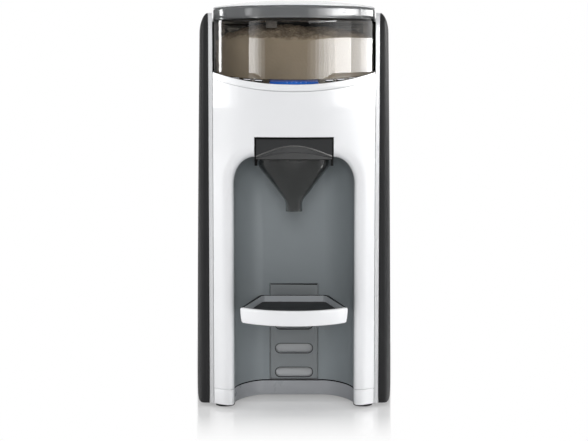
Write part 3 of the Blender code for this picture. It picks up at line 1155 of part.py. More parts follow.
def rear_cover(white, rubber, steel, dark):
    half = FRAME_REAR_X - FIT
    front = CHASSIS_BACK_Y + FIT
    cover = box("rear_cover", (-half, front, BASE_TOP_Z), (half, CASE_BACK_Y, TANK_SHELF_Z), white)
    hollow = box("rear_hollow_tool", (-half + WALL, front - OVERRUN, BASE_TOP_Z - OVERRUN),
                 (half - WALL, CASE_BACK_Y - WALL, TANK_SHELF_Z - SHELF_THICKNESS))
    cut(cover, hollow)
    shelf_low = TANK_SHELF_Z - SHELF_THICKNESS
    spigot = [(HOSE_RADIUS, shelf_low - NIPPLE_LENGTH), (PORT_RADIUS + WALL, shelf_low + FIT)]
    join(cover, turned("port_spigot", spigot, (PORT_X, TANK_Y, 0), 20))
    port = [(HOSE_BORE_RADIUS, shelf_low - NIPPLE_LENGTH - OVERRUN), (HOSE_BORE_RADIUS, shelf_low),
            (PORT_RADIUS, shelf_low + FIT), (PORT_RADIUS, TANK_SHELF_Z + OVERRUN)]
    cut(cover, turned("port_tool", port, (PORT_X, TANK_Y, 0), 20))
    seal_low = TANK_SHELF_Z - PORT_SEAL_HEIGHT
    groove = [(PORT_SEAL_RADIUS + FIT, seal_low), (PORT_SEAL_RADIUS + FIT, TANK_SHELF_Z + OVERRUN)]
    cut(cover, turned("port_groove_tool", groove, (PORT_X, TANK_Y, 0), 24))
    bore = PORT_RADIUS + FIT
    profile = [(PORT_SEAL_RADIUS, seal_low + FIT), (PORT_SEAL_RADIUS, TANK_SHELF_Z), (bore, TANK_SHELF_Z),
               (bore, seal_low + FIT)]
    turned("port_seal", profile, (PORT_X, TANK_Y, 0), 24, rubber, through=True)
    for side, sign in (("left", -1), ("right", 1)):
        cover_screw(cover, side, (sign * SCREW_X, 0, SCREW_Z), steel)
    cord_gland(cover, dark)


def cover_screw(cover, side, centre, steel):
    """A cross-head screw, with its boss and its hole in the rear cover."""
    inner = CASE_BACK_Y - WALL - FIT
    sunk = CASE_BACK_Y - SCREW_HEAD_HEIGHT / 2
    profile = [(SCREW_SHANK_RADIUS, sunk - SCREW_LENGTH), (SCREW_SHANK_RADIUS, sunk),
               (SCREW_HEAD_RADIUS, sunk), (SCREW_HEAD_RADIUS - FIT, sunk + SCREW_HEAD_HEIGHT)]
    boss = [(BOSS_RADIUS, sunk - SCREW_LENGTH - WALL), (BOSS_RADIUS, inner + 2 * FIT)]
    join(cover, turned(f"boss_{side}", boss, centre, 16, axis="Y"))
    hole = [(SCREW_SHANK_RADIUS + FIT, sunk - SCREW_LENGTH - FIT), (SCREW_SHANK_RADIUS + FIT, sunk - FIT),
            (SCREW_HEAD_RADIUS + FIT, sunk - FIT), (SCREW_HEAD_RADIUS + FIT, CASE_BACK_Y + OVERRUN)]
    cut(cover, turned(f"screw_hole_tool_{side}", hole, centre, 16, axis="Y"))
    screw = turned(f"cover_screw_{side}", profile, centre, 16, steel, axis="Y")
    arm, thin = SCREW_HEAD_RADIUS * SCREW_SLOT_SHARE, SCREW_SHANK_RADIUS / 3
    for way, x, z in (("level", arm, thin), ("upright", thin, arm)):
        low = (centre[0] - x, sunk + SCREW_HEAD_HEIGHT / 2, centre[2] - z)
        high = (centre[0] + x, sunk + OVERRUN, centre[2] + z)
        cut(screw, box(f"screw_slot_tool_{side}_{way}", low, high))


def cord_gland(cover, dark):
    centre = (GLAND_X, 0, GLAND_Z)
    hole = [(GLAND_RADIUS, CASE_BACK_Y - 2 * WALL), (GLAND_RADIUS, CASE_BACK_Y + OVERRUN)]
    cut(cover, turned("gland_hole_tool", hole, centre, 16, axis="Y"))
    groove = GLAND_RADIUS - FIT
    inner_y, outer_y = CASE_BACK_Y - WALL - FIT, CASE_BACK_Y + FIT
    nut, cap = GLAND_RADIUS + 4 * FIT, CASE_BACK_Y + GLAND_PROUD
    profile = [(nut, inner_y - WALL), (nut, inner_y), (groove, inner_y), (groove, outer_y),
               (GLAND_RADIUS + WALL / 2, outer_y), (GLAND_BORE_RADIUS + WALL / 2, cap),
               (GLAND_BORE_RADIUS, cap), (GLAND_BORE_RADIUS, inner_y - WALL)]
    turned("cord_gland", profile, centre, 16, dark, through=True, axis="Y")


def tank_ring(z, inset):
    """The tank's plan, a rounded rectangle, moved in by inset."""
    count = 32
    half_x, half_y = TANK_HALF_WIDTH - inset, TANK_HALF_DEPTH - inset
    return oval(0, TANK_Y, z, half_x, half_y, count, TANK_CORNER_POWER, pi / count)


def tank(clear, white, steel, grey):
    floor = TANK_LOW_Z + TANK_FLOOR
    rings = [tank_ring(TANK_LOW_Z, 0), tank_ring(TANK_TOP_Z, 0), tank_ring(TANK_TOP_Z, TANK_WALL),
             tank_ring(floor, TANK_WALL)]
    body = lofted("water_tank", rings, clear)
    for side, sign in (("left", -1), ("right", 1)):
        near, far = sorted((sign * HINGE_EAR_X, sign * (HINGE_EAR_X + HINGE_EAR_THICKNESS)))
        ear = box(f"hinge_ear_{side}", (near, PIN_Y - HINGE_RADIUS, TANK_TOP_Z - TANK_WALL),
                  (far, PIN_Y + HINGE_RADIUS - FIT, PIN_Z))
        eye = [(HINGE_RADIUS, near), (HINGE_RADIUS, far)]
        join(body, ear, turned(f"hinge_eye_{side}", eye, (0, PIN_Y, PIN_Z), 16, axis="X"))
    reach = HINGE_EAR_X + HINGE_EAR_THICKNESS
    bore = [(PIN_RADIUS + FIT / 4, -reach - OVERRUN), (PIN_RADIUS + FIT / 4, reach + OVERRUN)]
    cut(body, turned("ear_hole_tool", bore, (0, PIN_Y, PIN_Z), 16, axis="X"))
    tank_valve(body, floor, grey, steel)
    origin = (0, PIN_Y, PIN_Z)
    pin = [(PIN_RADIUS, -reach + FIT), (PIN_RADIUS, reach - FIT)]
    turned("tank_lid_pin", pin, origin, 16, steel, origin, axis="X")
    low, high = TANK_TOP_Z + FIT, TANK_TOP_Z + FIT + LID_THICKNESS
    plate_back = PIN_Y - HINGE_RADIUS - 2 * FIT
    rings = [[(x, min(y, plate_back), z) for x, y, z in tank_ring(z, 0)] for z in (low, high)]
    plate = lofted("tank_lid", rings, white, origin)
    half = HINGE_EAR_X - 2 * FIT
    web = box("lid_web", (-half, plate_back - WALL, low + FIT), (half, PIN_Y - PIN_RADIUS, high - FIT))
    barrel = turned("lid_barrel", [(HINGE_RADIUS, -half), (HINGE_RADIUS, half)], origin, 16, axis="X")
    join(plate, web, barrel)
    cut(plate, turned("barrel_bore_tool", bore, origin, 16, axis="X"))
    grip_y, grip_half = TANK_FRONT_Y + 4 * WALL, 4 * WALL
    join(plate, box("lid_grip", (-grip_half, grip_y, high - FIT),
                    (grip_half, grip_y + 2 * WALL, high + 2 * WALL)))


def tank_valve(body, floor, grey, steel):
    """The valve in the tank's floor, the bridge inside the tank that guides its stem, and its spring."""
    centre = (PORT_X, TANK_Y, 0)
    head = floor + FIT
    head_top = head + 4 * FIT
    valve_bore = VALVE_STEM_RADIUS + FIT
    hole = [(valve_bore, TANK_LOW_Z - OVERRUN), (valve_bore, floor + OVERRUN)]
    cut(body, turned("valve_hole_tool", hole, centre, 16))
    stem_low = TANK_SHELF_Z - SHELF_THICKNESS + 2 * FIT
    profile = [(VALVE_STEM_RADIUS, stem_low), (VALVE_STEM_RADIUS, head), (VALVE_HEAD_RADIUS, head),
               (VALVE_HEAD_RADIUS, head_top), (VALVE_STEM_RADIUS, head_top),
               (VALVE_STEM_RADIUS, head + VALVE_STEM_LENGTH)]
    turned("tank_valve", profile, centre, 20, grey, (PORT_X, TANK_Y, head))
    bridge_low = head + VALVE_STEM_LENGTH - VALVE_TRAVEL
    reach = VALVE_HEAD_RADIUS + 2 * WALL
    for side, sign in (("left", -1), ("right", 1)):
        near, far = sorted((PORT_X + sign * (reach - WALL), PORT_X + sign * reach))
        join(body, box(f"valve_leg_{side}", (near, TANK_Y - WALL, floor - FIT),
                       (far, TANK_Y + WALL, bridge_low + WALL / 2)))
    join(body, box("valve_bridge", (PORT_X - reach, TANK_Y - WALL, bridge_low),
                   (PORT_X + reach, TANK_Y + WALL, bridge_low + WALL)))
    hole = [(valve_bore, bridge_low - WALL), (valve_bore, bridge_low + OVERRUN)]
    cut(body, turned("bridge_hole_tool", hole, centre, 16))
    low, high = head_top + FIT + SPRING_WIRE, bridge_low - FIT - SPRING_WIRE
    steps, sides = 8 * SPRING_TURNS, 5
    rings = []
    for k in range(steps + 1):
        a = 2 * pi * k / 8
        z = low + (high - low) * k / steps
        ring = []
        for j in range(sides):
            b = 2 * pi * j / sides
            radius = SPRING_RADIUS + SPRING_WIRE * cos(b)
            ring.append((PORT_X + radius * cos(a), TANK_Y + radius * sin(a), z + SPRING_WIRE * sin(b)))
        rings.append(ring)
    lofted("valve_spring", rings, steel)


def build():
    clear_scene()
    white = material("white_gloss_plastic", (0.90, 0.90, 0.91), 0.22)
    black = material("black_gloss_plastic", (0.012, 0.012, 0.013), 0.12)
    dark = material("dark_side_plastic", (0.035, 0.036, 0.038), 0.42)
    grey = material("grey_bay_plastic", (0.16, 0.165, 0.17), 0.45)
    smoke = material("smoked_plastic", (0.05, 0.05, 0.052), 0.20, alpha=0.85)
    clear = material("clear_plastic", (0.92, 0.94, 0.95), 0.05, alpha=0.25)
    blue = material("display_blue", (0.015, 0.06, 0.35), 0.10)
    board_green = material("circuit_board", (0.02, 0.12, 0.05), 0.5)
    rubber = material("black_rubber", (0.02, 0.02, 0.02), 0.8)
    steel = material("steel", (0.55, 0.55, 0.56), 0.3, 1.0)
    brass = material("brass", (0.60, 0.42, 0.18), 0.35, 1.0)
    nylon = material("white_nylon", (0.72, 0.71, 0.67), 0.5)
    hose_clear = material("hose_silicone", (0.80, 0.82, 0.82), 0.35, alpha=0.6)
    base(white, rubber)
    front_shell(white)
    top_bezel(white)
    deck(white)
    control_panel(black, blue, board_green, black)
    side_covers(white, dark)
    bay_liner(grey)
    slot_panel(grey)
    tray(grey, white, dark)
    funnel(smoke, dark)
    container(clear, grey)
    stirrer(grey, dark)
    lid(white, smoke, rubber)
    drive(nylon, brass, steel, dark)
    nozzle_end = chute_and_nozzle(white, grey)
    chassis(white, board_green)
    water_heater(steel)
    pump_and_hoses(hose_clear, dark, nozzle_end)
    rear_cover(white, rubber, steel, dark)
    tank(clear, white, steel, grey)


build()
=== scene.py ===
# %% [markdown]
# # A countertop baby formula maker
# A clear powder container stands on a white body, over an open bay with a funnel above it and a tray in it.
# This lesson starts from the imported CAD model, which is the fixed frame. It dresses each piece with a finer mesh
# and a node-based finish, and then lights the whole on a pale floor. Every length is in metres.

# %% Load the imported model
import json
from math import asin, copysign, cos, pi, radians, sin, sqrt, tan

import bmesh
import bpy
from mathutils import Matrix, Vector, noise


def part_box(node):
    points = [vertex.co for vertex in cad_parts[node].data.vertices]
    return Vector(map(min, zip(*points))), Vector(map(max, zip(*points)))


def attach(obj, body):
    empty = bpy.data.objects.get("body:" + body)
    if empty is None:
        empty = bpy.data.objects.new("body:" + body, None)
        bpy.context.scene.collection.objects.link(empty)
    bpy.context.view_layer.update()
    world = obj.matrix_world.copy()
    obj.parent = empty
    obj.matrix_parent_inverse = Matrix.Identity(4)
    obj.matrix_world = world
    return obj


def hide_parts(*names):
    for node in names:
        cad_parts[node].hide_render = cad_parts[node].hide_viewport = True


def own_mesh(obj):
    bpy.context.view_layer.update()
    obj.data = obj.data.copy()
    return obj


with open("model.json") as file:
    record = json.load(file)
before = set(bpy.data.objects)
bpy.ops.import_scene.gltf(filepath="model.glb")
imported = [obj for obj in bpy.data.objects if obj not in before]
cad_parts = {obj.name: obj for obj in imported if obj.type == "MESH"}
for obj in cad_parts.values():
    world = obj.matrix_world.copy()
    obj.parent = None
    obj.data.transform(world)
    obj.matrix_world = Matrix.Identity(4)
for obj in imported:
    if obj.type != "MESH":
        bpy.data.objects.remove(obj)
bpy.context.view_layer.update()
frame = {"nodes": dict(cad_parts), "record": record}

print("pieces in the model:", len(frame["nodes"]))

# %% [markdown]
# The camera looks at the front from a little above the middle. Its height, distance and tilt were worked out
# from the ellipses of the lid and the seams in the photograph, so it is placed first and never moved.

# %% Camera at the photograph's viewing angle
camera_data = bpy.data.cameras.new("camera")
camera_data.lens = 90.55
camera_data.sensor_width = 36
camera = bpy.data.objects.new("camera", camera_data)
camera.location = (0, -1.261, 0.2595)
camera.rotation_euler = (radians(90 - 5.23), 0, 0)
bpy.context.scene.collection.objects.link(camera)
bpy.context.scene.camera = camera
print("camera stands", round(-camera.location.y, 3), "m in front of the container")

# %% [markdown]
# A new piece has to lie exactly on the piece that it stands for, so its sizes come from the boxes of the CAD
# pieces. The white front is part of a cylinder in plan, and a few small functions give its curve, the tilt of
# the deck and the smile of the bezel's top edge.

# %% Sizes read from the frame
shell_low, shell_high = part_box("front_shell")
frame_low, frame_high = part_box("side_frame_right")
container_low, container_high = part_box("powder_container")
front_centre_y = -0.004
front_radius = front_centre_y - shell_low.y
front_half_width = shell_high.x
post_back_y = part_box("bay_liner")[0].y
container_radius = container_high.x
case_top_z = frame_high.z
seat_depth = 0.053
seat_z = case_top_z - seat_depth
deck_tilt = radians(7.2)
bezel_height, bezel_depth = 0.0053, 0.004
rim_smile, rim_smile_power = 0.010, 2.2
fit = 0.0003


def front_y(x, inset=0.0):
    """The white front's curve at x, moved in by inset."""
    return front_centre_y - sqrt((front_radius - inset) ** 2 - x**2)


def seat_height(y):
    return seat_z + tan(deck_tilt) * (y + container_radius)


def rim_height(x):
    """The bezel's top edge, lowest at the nose."""
    nose = seat_height(front_y(0, bezel_depth))
    return nose + rim_smile * (abs(x) / front_half_width) ** rim_smile_power


def spread(low, high, count):
    return [low + (high - low) * k / (count - 1) for k in range(count)]


def quarter(steps):
    """Pairs (1 - sin, 1 - cos) along a quarter turn, which round an edge of size 1."""
    turn = [pi / 2 * k / steps for k in range(steps + 1)]
    return [(1 - sin(a), 1 - cos(a)) for a in turn]


print("front radius", round(front_radius, 4), "container radius", round(container_radius, 4))

# %% [markdown]
# Operators act on whatever is selected, and loading leaves every CAD piece selected. These helpers select one
# object alone, open it in edit mode with nothing selected, and pick faces, edges or points in code by their
# place or their normal, which stands in for clicking on them.

# %% Helpers that select
def alone(obj):
    bpy.ops.object.select_all(action="DESELECT")
    obj.select_set(True)
    bpy.context.view_layer.objects.active = obj


def edit(obj):
    alone(obj)
    bpy.ops.object.mode_set(mode="EDIT")
    bpy.ops.mesh.select_mode(type="VERT")
    bpy.ops.mesh.select_all(action="DESELECT")


def leave():
    bpy.ops.object.mode_set(mode="OBJECT")


def pick(obj, kind, test):
    """Selects the faces, edges or points that pass a test of their middle and, for faces, their normal."""
    bpy.ops.mesh.select_mode(type=kind)
    mesh = bmesh.from_edit_mesh(obj.data)
    chosen = 0
    for item in {"FACE": mesh.faces, "EDGE": mesh.edges, "VERT": mesh.verts}[kind]:
        if kind == "FACE":
            wanted = test(item.calc_center_median(), item.normal)
        elif kind == "EDGE":
            wanted = test(item.verts[0].co, item.verts[1].co)
        else:
            wanted = test(item.co)
        if wanted:
            item.select_set(True)
            chosen += 1
    bmesh.update_edit_mesh(obj.data)
    return chosen


def weld(obj):
    """Merges points that coincide, then turns every face outwards."""
    edit(obj)
    bpy.ops.mesh.select_all(action="SELECT")
    bpy.ops.mesh.remove_doubles(threshold=0.000002)
    bpy.ops.mesh.normals_make_consistent(inside=False)
    leave()


print("selection helpers ready")

# %% [markdown]
# Modifiers are added and applied at once, because the finished piece is plain mesh. A small bevel on every sharp
# edge is the most useful of them: no moulded edge is truly sharp, and the bevel is what catches the light.

# %% Helpers that finish a mesh
def applied(obj, kind, **settings):
    alone(obj)
    modifier = obj.modifiers.new(kind.title(), kind)
    for name, value in settings.items():
        setattr(modifier, name, value)
    bpy.ops.object.modifier_apply(modifier=modifier.name)


def soften(obj, width, segments=2, angle=38):
    """Rounds the edges that turn by more than the angle, and shades the rest smooth."""
    applied(obj, "BEVEL", width=width, segments=segments, limit_method="ANGLE",
            angle_limit=radians(angle), use_clamp_overlap=True)
    smooth(obj)


def smooth(obj, angle=32):
    alone(obj)
    bpy.ops.object.shade_smooth_by_angle(angle=radians(angle))


def carve(obj, *cutters):
    """Cuts holes with the Boolean modifier, and deletes the tools."""
    for cutter in cutters:
        applied(obj, "BOOLEAN", operation="DIFFERENCE", solver="EXACT", object=cutter)
        bpy.data.objects.remove(cutter)


def joined(pieces, name):
    """Joins pieces into the first of them."""
    alone(pieces[0])
    for piece in pieces[1:]:
        piece.select_set(True)
    bpy.ops.object.join()
    pieces[0].name = pieces[0].data.name = name
    return pieces[0]


def paint(obj, finish, test):
    """Gives a further finish to the faces that pass a test of their middle and normal, and counts them."""
    obj.data.materials.append(finish)
    chosen = [face for face in obj.data.polygons if test(face.center, face.normal)]
    for face in chosen:
        face.material_index = len(obj.data.materials) - 1
    return len(chosen)


def dress(obj, body, finish, slot, *nodes):
    """Gives a piece its finish and its body, and lets it stand for CAD nodes."""
    obj.data.materials.clear()
    obj.data.materials.append(finish)
    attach(obj, body)
    if nodes:
        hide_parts(*nodes)
    print(obj.name, "has", len(obj.data.polygons), "faces")
    return obj


print("finishing helpers ready")

# %% [markdown]
# Four ways of making a mesh cover the whole machine. A block is a cube scaled to its size. A line is drawn by
# extruding one point from place to place. A turned piece is such a line spun round an upright axis, as on a
# lathe. Where a surface follows a formula that no operator bends to, points are laid out in rows and skinned
# with faces.

# %% Helpers that draw, turn and skin
def block(name, centre, size):
    bpy.ops.object.select_all(action="DESELECT")
    bpy.ops.mesh.primitive_cube_add(size=1, location=centre)
    obj = bpy.context.object
    obj.name = obj.data.name = name
    obj.scale = size
    bpy.ops.object.transform_apply(location=True, rotation=True, scale=True)
    return obj


def drawn(name, points, closed=False):
    """A line through points: a plane merged to one point, which is then extruded from place to place."""
    bpy.ops.object.select_all(action="DESELECT")
    bpy.ops.mesh.primitive_plane_add(size=0.001, location=(0, 0, 0))
    obj = bpy.context.object
    obj.name = obj.data.name = name
    edit(obj)
    bpy.ops.mesh.select_all(action="SELECT")
    bpy.ops.mesh.merge(type="CENTER")
    bpy.ops.transform.translate(value=points[0])
    for here, there in zip(points, points[1:]):
        bpy.ops.mesh.extrude_vertices_move(TRANSFORM_OT_translate={"value": Vector(there) - Vector(here)})
    if closed:
        bpy.ops.mesh.select_all(action="DESELECT")
        first, last = Vector(points[0]), Vector(points[-1])
        pick(obj, "VERT", lambda co: min((co - first).length, (co - last).length) < 0.000001)
        bpy.ops.mesh.edge_face_add()
    leave()
    return obj


def spun(name, profile, steps=96, closed=True, centre=(0, 0, 0)):
    """Turns a line of (radius, height) pairs round an upright axis."""
    points = [Vector(centre) + Vector((r, 0, z)) for r, z in profile]
    obj = drawn(name, points, closed)
    edit(obj)
    bpy.ops.mesh.select_all(action="SELECT")
    bpy.ops.mesh.spin(steps=steps, angle=2 * pi, center=centre, axis=(0, 0, 1))
    leave()
    weld(obj)
    return obj


def slab(name, outline, low_z, high_z):
    """Fills a closed outline of (x, y) points and extrudes it upwards."""
    obj = drawn(name, [(x, y, low_z) for x, y in outline], True)
    edit(obj)
    bpy.ops.mesh.select_all(action="SELECT")
    bpy.ops.mesh.edge_face_add()
    bpy.ops.mesh.extrude_region_move(TRANSFORM_OT_translate={"value": (0, 0, high_z - low_z)})
    leave()
    weld(obj)
    return obj


def skinned(name, rows, around=False, over=False, ends=False):
    """Lays faces over rows of points. around joins each row to its own start, over joins the last row to the
    first, and ends closes the first and the last row with a face each."""
    count = len(rows[0])
    points = [tuple(point) for row in rows for point in row]
    faces = []
    for i in range(len(rows) - (not over)):
        for k in range(count - (not around)):
            a, b, j = i * count, (i + 1) % len(rows) * count, (k + 1) % count
            faces.append((a + k, a + j, b + j, b + k))
    if ends:
        faces.append(tuple(range(count)))
        faces.append(tuple(len(points) - count + k for k in range(count)))
    mesh = bpy.data.meshes.new(name)
    mesh.from_pydata(points, [], faces)
    obj = bpy.data.objects.new(name, mesh)
    bpy.context.scene.collection.objects.link(obj)
    weld(obj)
    return obj


print("modelling helpers ready")

# %% [markdown]
# Most moulded plastic shares one small effect: a fine grain that breaks up its reflections, and a slow change
# of gloss where hands and cloths have passed. It is one node group with named inputs, used in every plastic
# with its own values. The group gives out a colour and two numbers, and the shader stays in each material.

# %% Helpers for node groups
def new_group(name, inputs, outputs):
    group = bpy.data.node_groups.new(name, "ShaderNodeTree")
    for label, kind, value in inputs:
        socket = group.interface.new_socket(name=label, in_out="INPUT", socket_type=kind)
        if value is not None:
            socket.default_value = value
    for label, kind in outputs:
        group.interface.new_socket(name=label, in_out="OUTPUT", socket_type=kind)
    return group, group.nodes.new("NodeGroupInput"), group.nodes.new("NodeGroupOutput")


def feed(tree, made, inputs):
    """Gives a node's inputs their values, or links them where the value is a socket."""
    for name, value in inputs.items():
        if isinstance(value, bpy.types.NodeSocket):
            tree.links.new(value, made.inputs[name])
        else:
            made.inputs[name].default_value = value


def node(tree, kind, inputs=None, **settings):
    """Adds a node, sets its properties and feeds its inputs."""
    made = tree.nodes.new(kind)
    for name, value in settings.items():
        setattr(made, name, value)
    feed(tree, made, inputs or {})
    return made


def maths(tree, operation, a, b=0.0):
    return node(tree, "ShaderNodeMath", {0: a, 1: b}, operation=operation).outputs[0]


def ramp(tree, value, low, high, new_low, new_high):
    """Maps a range of values to another, without going past its ends."""
    made = node(tree, "ShaderNodeMapRange", {"Value": value, "From Min": low, "From Max": high,
                                             "To Min": new_low, "To Max": new_high})
    return made.outputs["Result"]


def mixed(tree, factor, first, second):
    """Mixes two colours. A Mix node's colour sockets share their names with others, so they go by number."""
    return node(tree, "ShaderNodeMix", {"Factor": factor, 6: first, 7: second}, data_type="RGBA").outputs[2]


def relief(tree, height, strength, distance):
    """The normal of a bump."""
    made = node(tree, "ShaderNodeBump", {"Height": height, "Strength": strength, "Distance": distance})
    return made.outputs["Normal"]


print("node helpers ready")

# %% [markdown]
# The group has two noises. A fine one is the grain, which becomes a bump. A slow, cloudy one shifts the gloss a
# little and mixes in a worn colour, as far as the wear allows.

# %% The group for moulded plastic
moulded, given, result = new_group(
    "moulded_surface",
    [("Vector", "NodeSocketVector", None), ("Grain Scale", "NodeSocketFloat", 2600.0),
     ("Roughness", "NodeSocketFloat", 0.25), ("Roughness Spread", "NodeSocketFloat", 0.06),
     ("Colour", "NodeSocketColor", (0.8, 0.8, 0.8, 1)), ("Worn Colour", "NodeSocketColor", (0.75, 0.75, 0.74, 1)),
     ("Wear", "NodeSocketFloat", 0.3)],
    [("Colour", "NodeSocketColor"), ("Roughness", "NodeSocketFloat"), ("Height", "NodeSocketFloat")])
grain = node(moulded, "ShaderNodeTexNoise", {"Vector": given.outputs["Vector"], "Scale": given.outputs["Grain Scale"],
                                             "Detail": 3.0, "Roughness": 0.55})
handling = node(moulded, "ShaderNodeTexNoise", {"Vector": given.outputs["Vector"], "Scale": 22.0, "Detail": 4.0,
                                                "Roughness": 0.6, "Distortion": 0.4})
cloudy = ramp(moulded, handling.outputs["Fac"], 0.38, 0.68, 0.0, 1.0)
worn = maths(moulded, "MULTIPLY", cloudy, given.outputs["Wear"])
gloss = maths(moulded, "MULTIPLY", maths(moulded, "SUBTRACT", cloudy, 0.5), given.outputs["Roughness Spread"])
feed(moulded, result, {"Colour": mixed(moulded, worn, given.outputs["Colour"], given.outputs["Worn Colour"]),
                       "Roughness": maths(moulded, "ADD", given.outputs["Roughness"], gloss),
                       "Height": grain.outputs["Fac"]})
print("moulded_surface group has", len(moulded.nodes), "nodes")

# %% [markdown]
# Every plastic is the same small tree: object coordinates, the moulded group, a bump and the Principled shader.
# Its real values differ, such as a glossy white, a satin side panel or a matt bay. Values that are the same
# all over, such as coat or refraction, go straight onto the shader.

# %% A plastic from the moulded group
def shader_tree(name):
    made = bpy.data.materials.new(name)
    made.use_nodes = True
    tree = made.node_tree
    tree.nodes.clear()
    shader = tree.nodes.new("ShaderNodeBsdfPrincipled")
    output = tree.nodes.new("ShaderNodeOutputMaterial")
    tree.links.new(shader.outputs["BSDF"], output.inputs["Surface"])
    place = tree.nodes.new("ShaderNodeTexCoord").outputs["Object"]
    return made, tree, shader, place


def plastic(name, colour, roughness, wear=0.25, worn=None, spread=0.06, grain_scale=2600.0, bump=0.02,
            depth=0.00004, **plain):
    """A moulded plastic. plain holds values that are the same all over, by socket name."""
    made, tree, shader, place = shader_tree(name)
    worn = worn or tuple(0.9 * c for c in colour)
    skin = node(tree, "ShaderNodeGroup", {
        "Vector": place, "Grain Scale": grain_scale, "Roughness": roughness, "Roughness Spread": spread,
        "Colour": (*colour, 1), "Worn Colour": (*worn, 1), "Wear": wear}, node_tree=moulded)
    feed(tree, shader, {"Base Color": skin.outputs["Colour"], "Roughness": skin.outputs["Roughness"],
                        "Normal": relief(tree, skin.outputs["Height"], bump, depth)})
    feed(tree, shader, {label.replace("_", " "): value for label, value in plain.items()})
    return made


white_gloss = plastic("white_gloss", (0.90, 0.905, 0.92), 0.24, wear=0.12, worn=(0.87, 0.87, 0.875),
                      Coat_Weight=0.25, Coat_Roughness=0.08)
dark_satin = plastic("dark_satin", (0.030, 0.030, 0.031), 0.42, wear=0.5, worn=(0.038, 0.038, 0.039),
                     grain_scale=1800.0, bump=0.05, IOR=1.12)
black_gloss = plastic("black_gloss", (0.006, 0.006, 0.007), 0.07, wear=0.2, spread=0.03, IOR=1.08)
bay_grey = plastic("bay_grey", (0.262, 0.290, 0.304), 0.42, wear=0.3, worn=(0.23, 0.255, 0.268),
                   grain_scale=1500.0, bump=0.06)
slot_grey = plastic("slot_grey", (0.245, 0.262, 0.270), 0.40, wear=0.3, grain_scale=1500.0, bump=0.06)
# A pale grey that paints light into the pill pockets.
pocket_painted_light = plastic("pocket_painted_light", (0.50, 0.51, 0.52), 0.45, wear=0.2, grain_scale=1500.0, bump=0.05)
mat_dark = plastic("mat_dark", (0.014, 0.015, 0.016), 0.6, wear=0.4, worn=(0.020, 0.021, 0.022),
                   grain_scale=900.0, bump=0.2)
rubber = plastic("rubber", (0.016, 0.016, 0.016), 0.75, wear=0.5, worn=(0.03, 0.03, 0.03), bump=0.15)
nylon = plastic("nylon", (0.70, 0.69, 0.64), 0.45, wear=0.4, worn=(0.6, 0.58, 0.5), bump=0.06)
# A darker white that paints shade onto the side frames' white plastic.
white_frame_painted_shade = plastic("white_frame_painted_shade", (0.66, 0.665, 0.675), 0.28, wear=0.15, worn=(0.63, 0.63, 0.635))
tray_grey = plastic("tray_grey", (0.42, 0.44, 0.46), 0.40, wear=0.3, grain_scale=1500.0, bump=0.06)
lid_white = plastic("lid_white", (0.91, 0.915, 0.925), 0.20, wear=0.1, Coat_Weight=0.3)
base_shade = plastic("base_shade", (0.40, 0.41, 0.43), 0.30, wear=0.2, worn=(0.36, 0.36, 0.38))
# Near-black painted shade for the lid's skirt and underside inside the tub.
lid_skirt_painted_shade = plastic("lid_skirt_painted_shade", (0.030, 0.031, 0.033), 0.35, wear=0.3)
# A near-black finish for painted shadow lines: round the funnel cover, over the pill pockets, along the tray shelf's
# rim and at the top of the bay's lower edge.
painted_shadow_black = plastic("painted_shadow_black", (0.003, 0.003, 0.003), 0.5, IOR=1.2)
# Painted highlight for the arch's ridge on the funnel cover, and painted light for the band below its lower arch.
arch_painted_highlight = plastic("arch_painted_highlight", (0.105, 0.103, 0.10), 0.35)
cover_painted_light = plastic("cover_painted_light", (0.060, 0.061, 0.061), 0.35)
inner_grey = plastic("inner_grey", (0.30, 0.31, 0.32), 0.4, wear=0.3, bump=0.05)
print("plastics:", len([m for m in bpy.data.materials if m.use_nodes]))

# %% [markdown]
# Clear and smoked parts are real transmission, with a smooth skin and a very slight ripple from the mould. The
# colour of a smoked plastic is the share of light that gets through its wall.

# %% Clear and smoked plastics
def see_through(name, colour, roughness=0.03, refraction=1.5, ripple=0.01, transmission=1.0):
    made, tree, shader, place = shader_tree(name)
    waves = node(tree, "ShaderNodeTexNoise", {"Vector": place, "Scale": 45.0, "Detail": 2.0})
    feed(tree, shader, {"Base Color": (*colour, 1), "Transmission Weight": transmission, "IOR": refraction,
                        "Roughness": ramp(tree, waves.outputs["Fac"], 0.35, 0.7, roughness, roughness * 1.5),
                        "Normal": relief(tree, waves.outputs["Fac"], ripple, 0.0005)})
    return made


container_clear = see_through("container_clear", (0.53, 0.49, 0.445), 0.02, 1.49)
band_smoke = see_through("band_smoke", (0.36, 0.37, 0.375), 0.10, 1.49, transmission=0.6)
funnel_smoke = see_through("funnel_smoke", (0.34, 0.345, 0.335), 0.12, 1.45)
tank_clear = see_through("tank_clear", (0.86, 0.90, 0.92), 0.04, 1.45)
hose_clear = see_through("hose_clear", (0.80, 0.82, 0.82), 0.25, 1.41)
print("transmission finishes ready")

# %% [markdown]
# Metal parts carry fine lines from drawing or turning. The noise is stretched along one axis, which makes
# streaks, and these feed both the roughness and a slight bump.

# %% Metals with drawn lines
def metal(name, colour, roughness, stretch=(1, 1, 0.02)):
    made, tree, shader, place = shader_tree(name)
    lengthened = node(tree, "ShaderNodeMapping", {"Vector": place, "Scale": stretch})
    lines = node(tree, "ShaderNodeTexNoise", {"Vector": lengthened.outputs["Vector"], "Scale": 2400.0, "Detail": 4.0})
    darker = tuple(0.85 * c for c in colour)
    feed(tree, shader, {"Base Color": mixed(tree, lines.outputs["Fac"], (*darker, 1), (*colour, 1)), "Metallic": 1.0,
                        "Roughness": ramp(tree, lines.outputs["Fac"], 0.3, 0.7, roughness * 0.8, roughness * 1.3),
                        "Normal": relief(tree, lines.outputs["Fac"], 0.05, 0.00003)})
    return made


steel = metal("steel", (0.62, 0.62, 0.63), 0.28)
brass = metal("brass", (0.72, 0.50, 0.22), 0.30, (1, 1, 1))
print("metals ready")
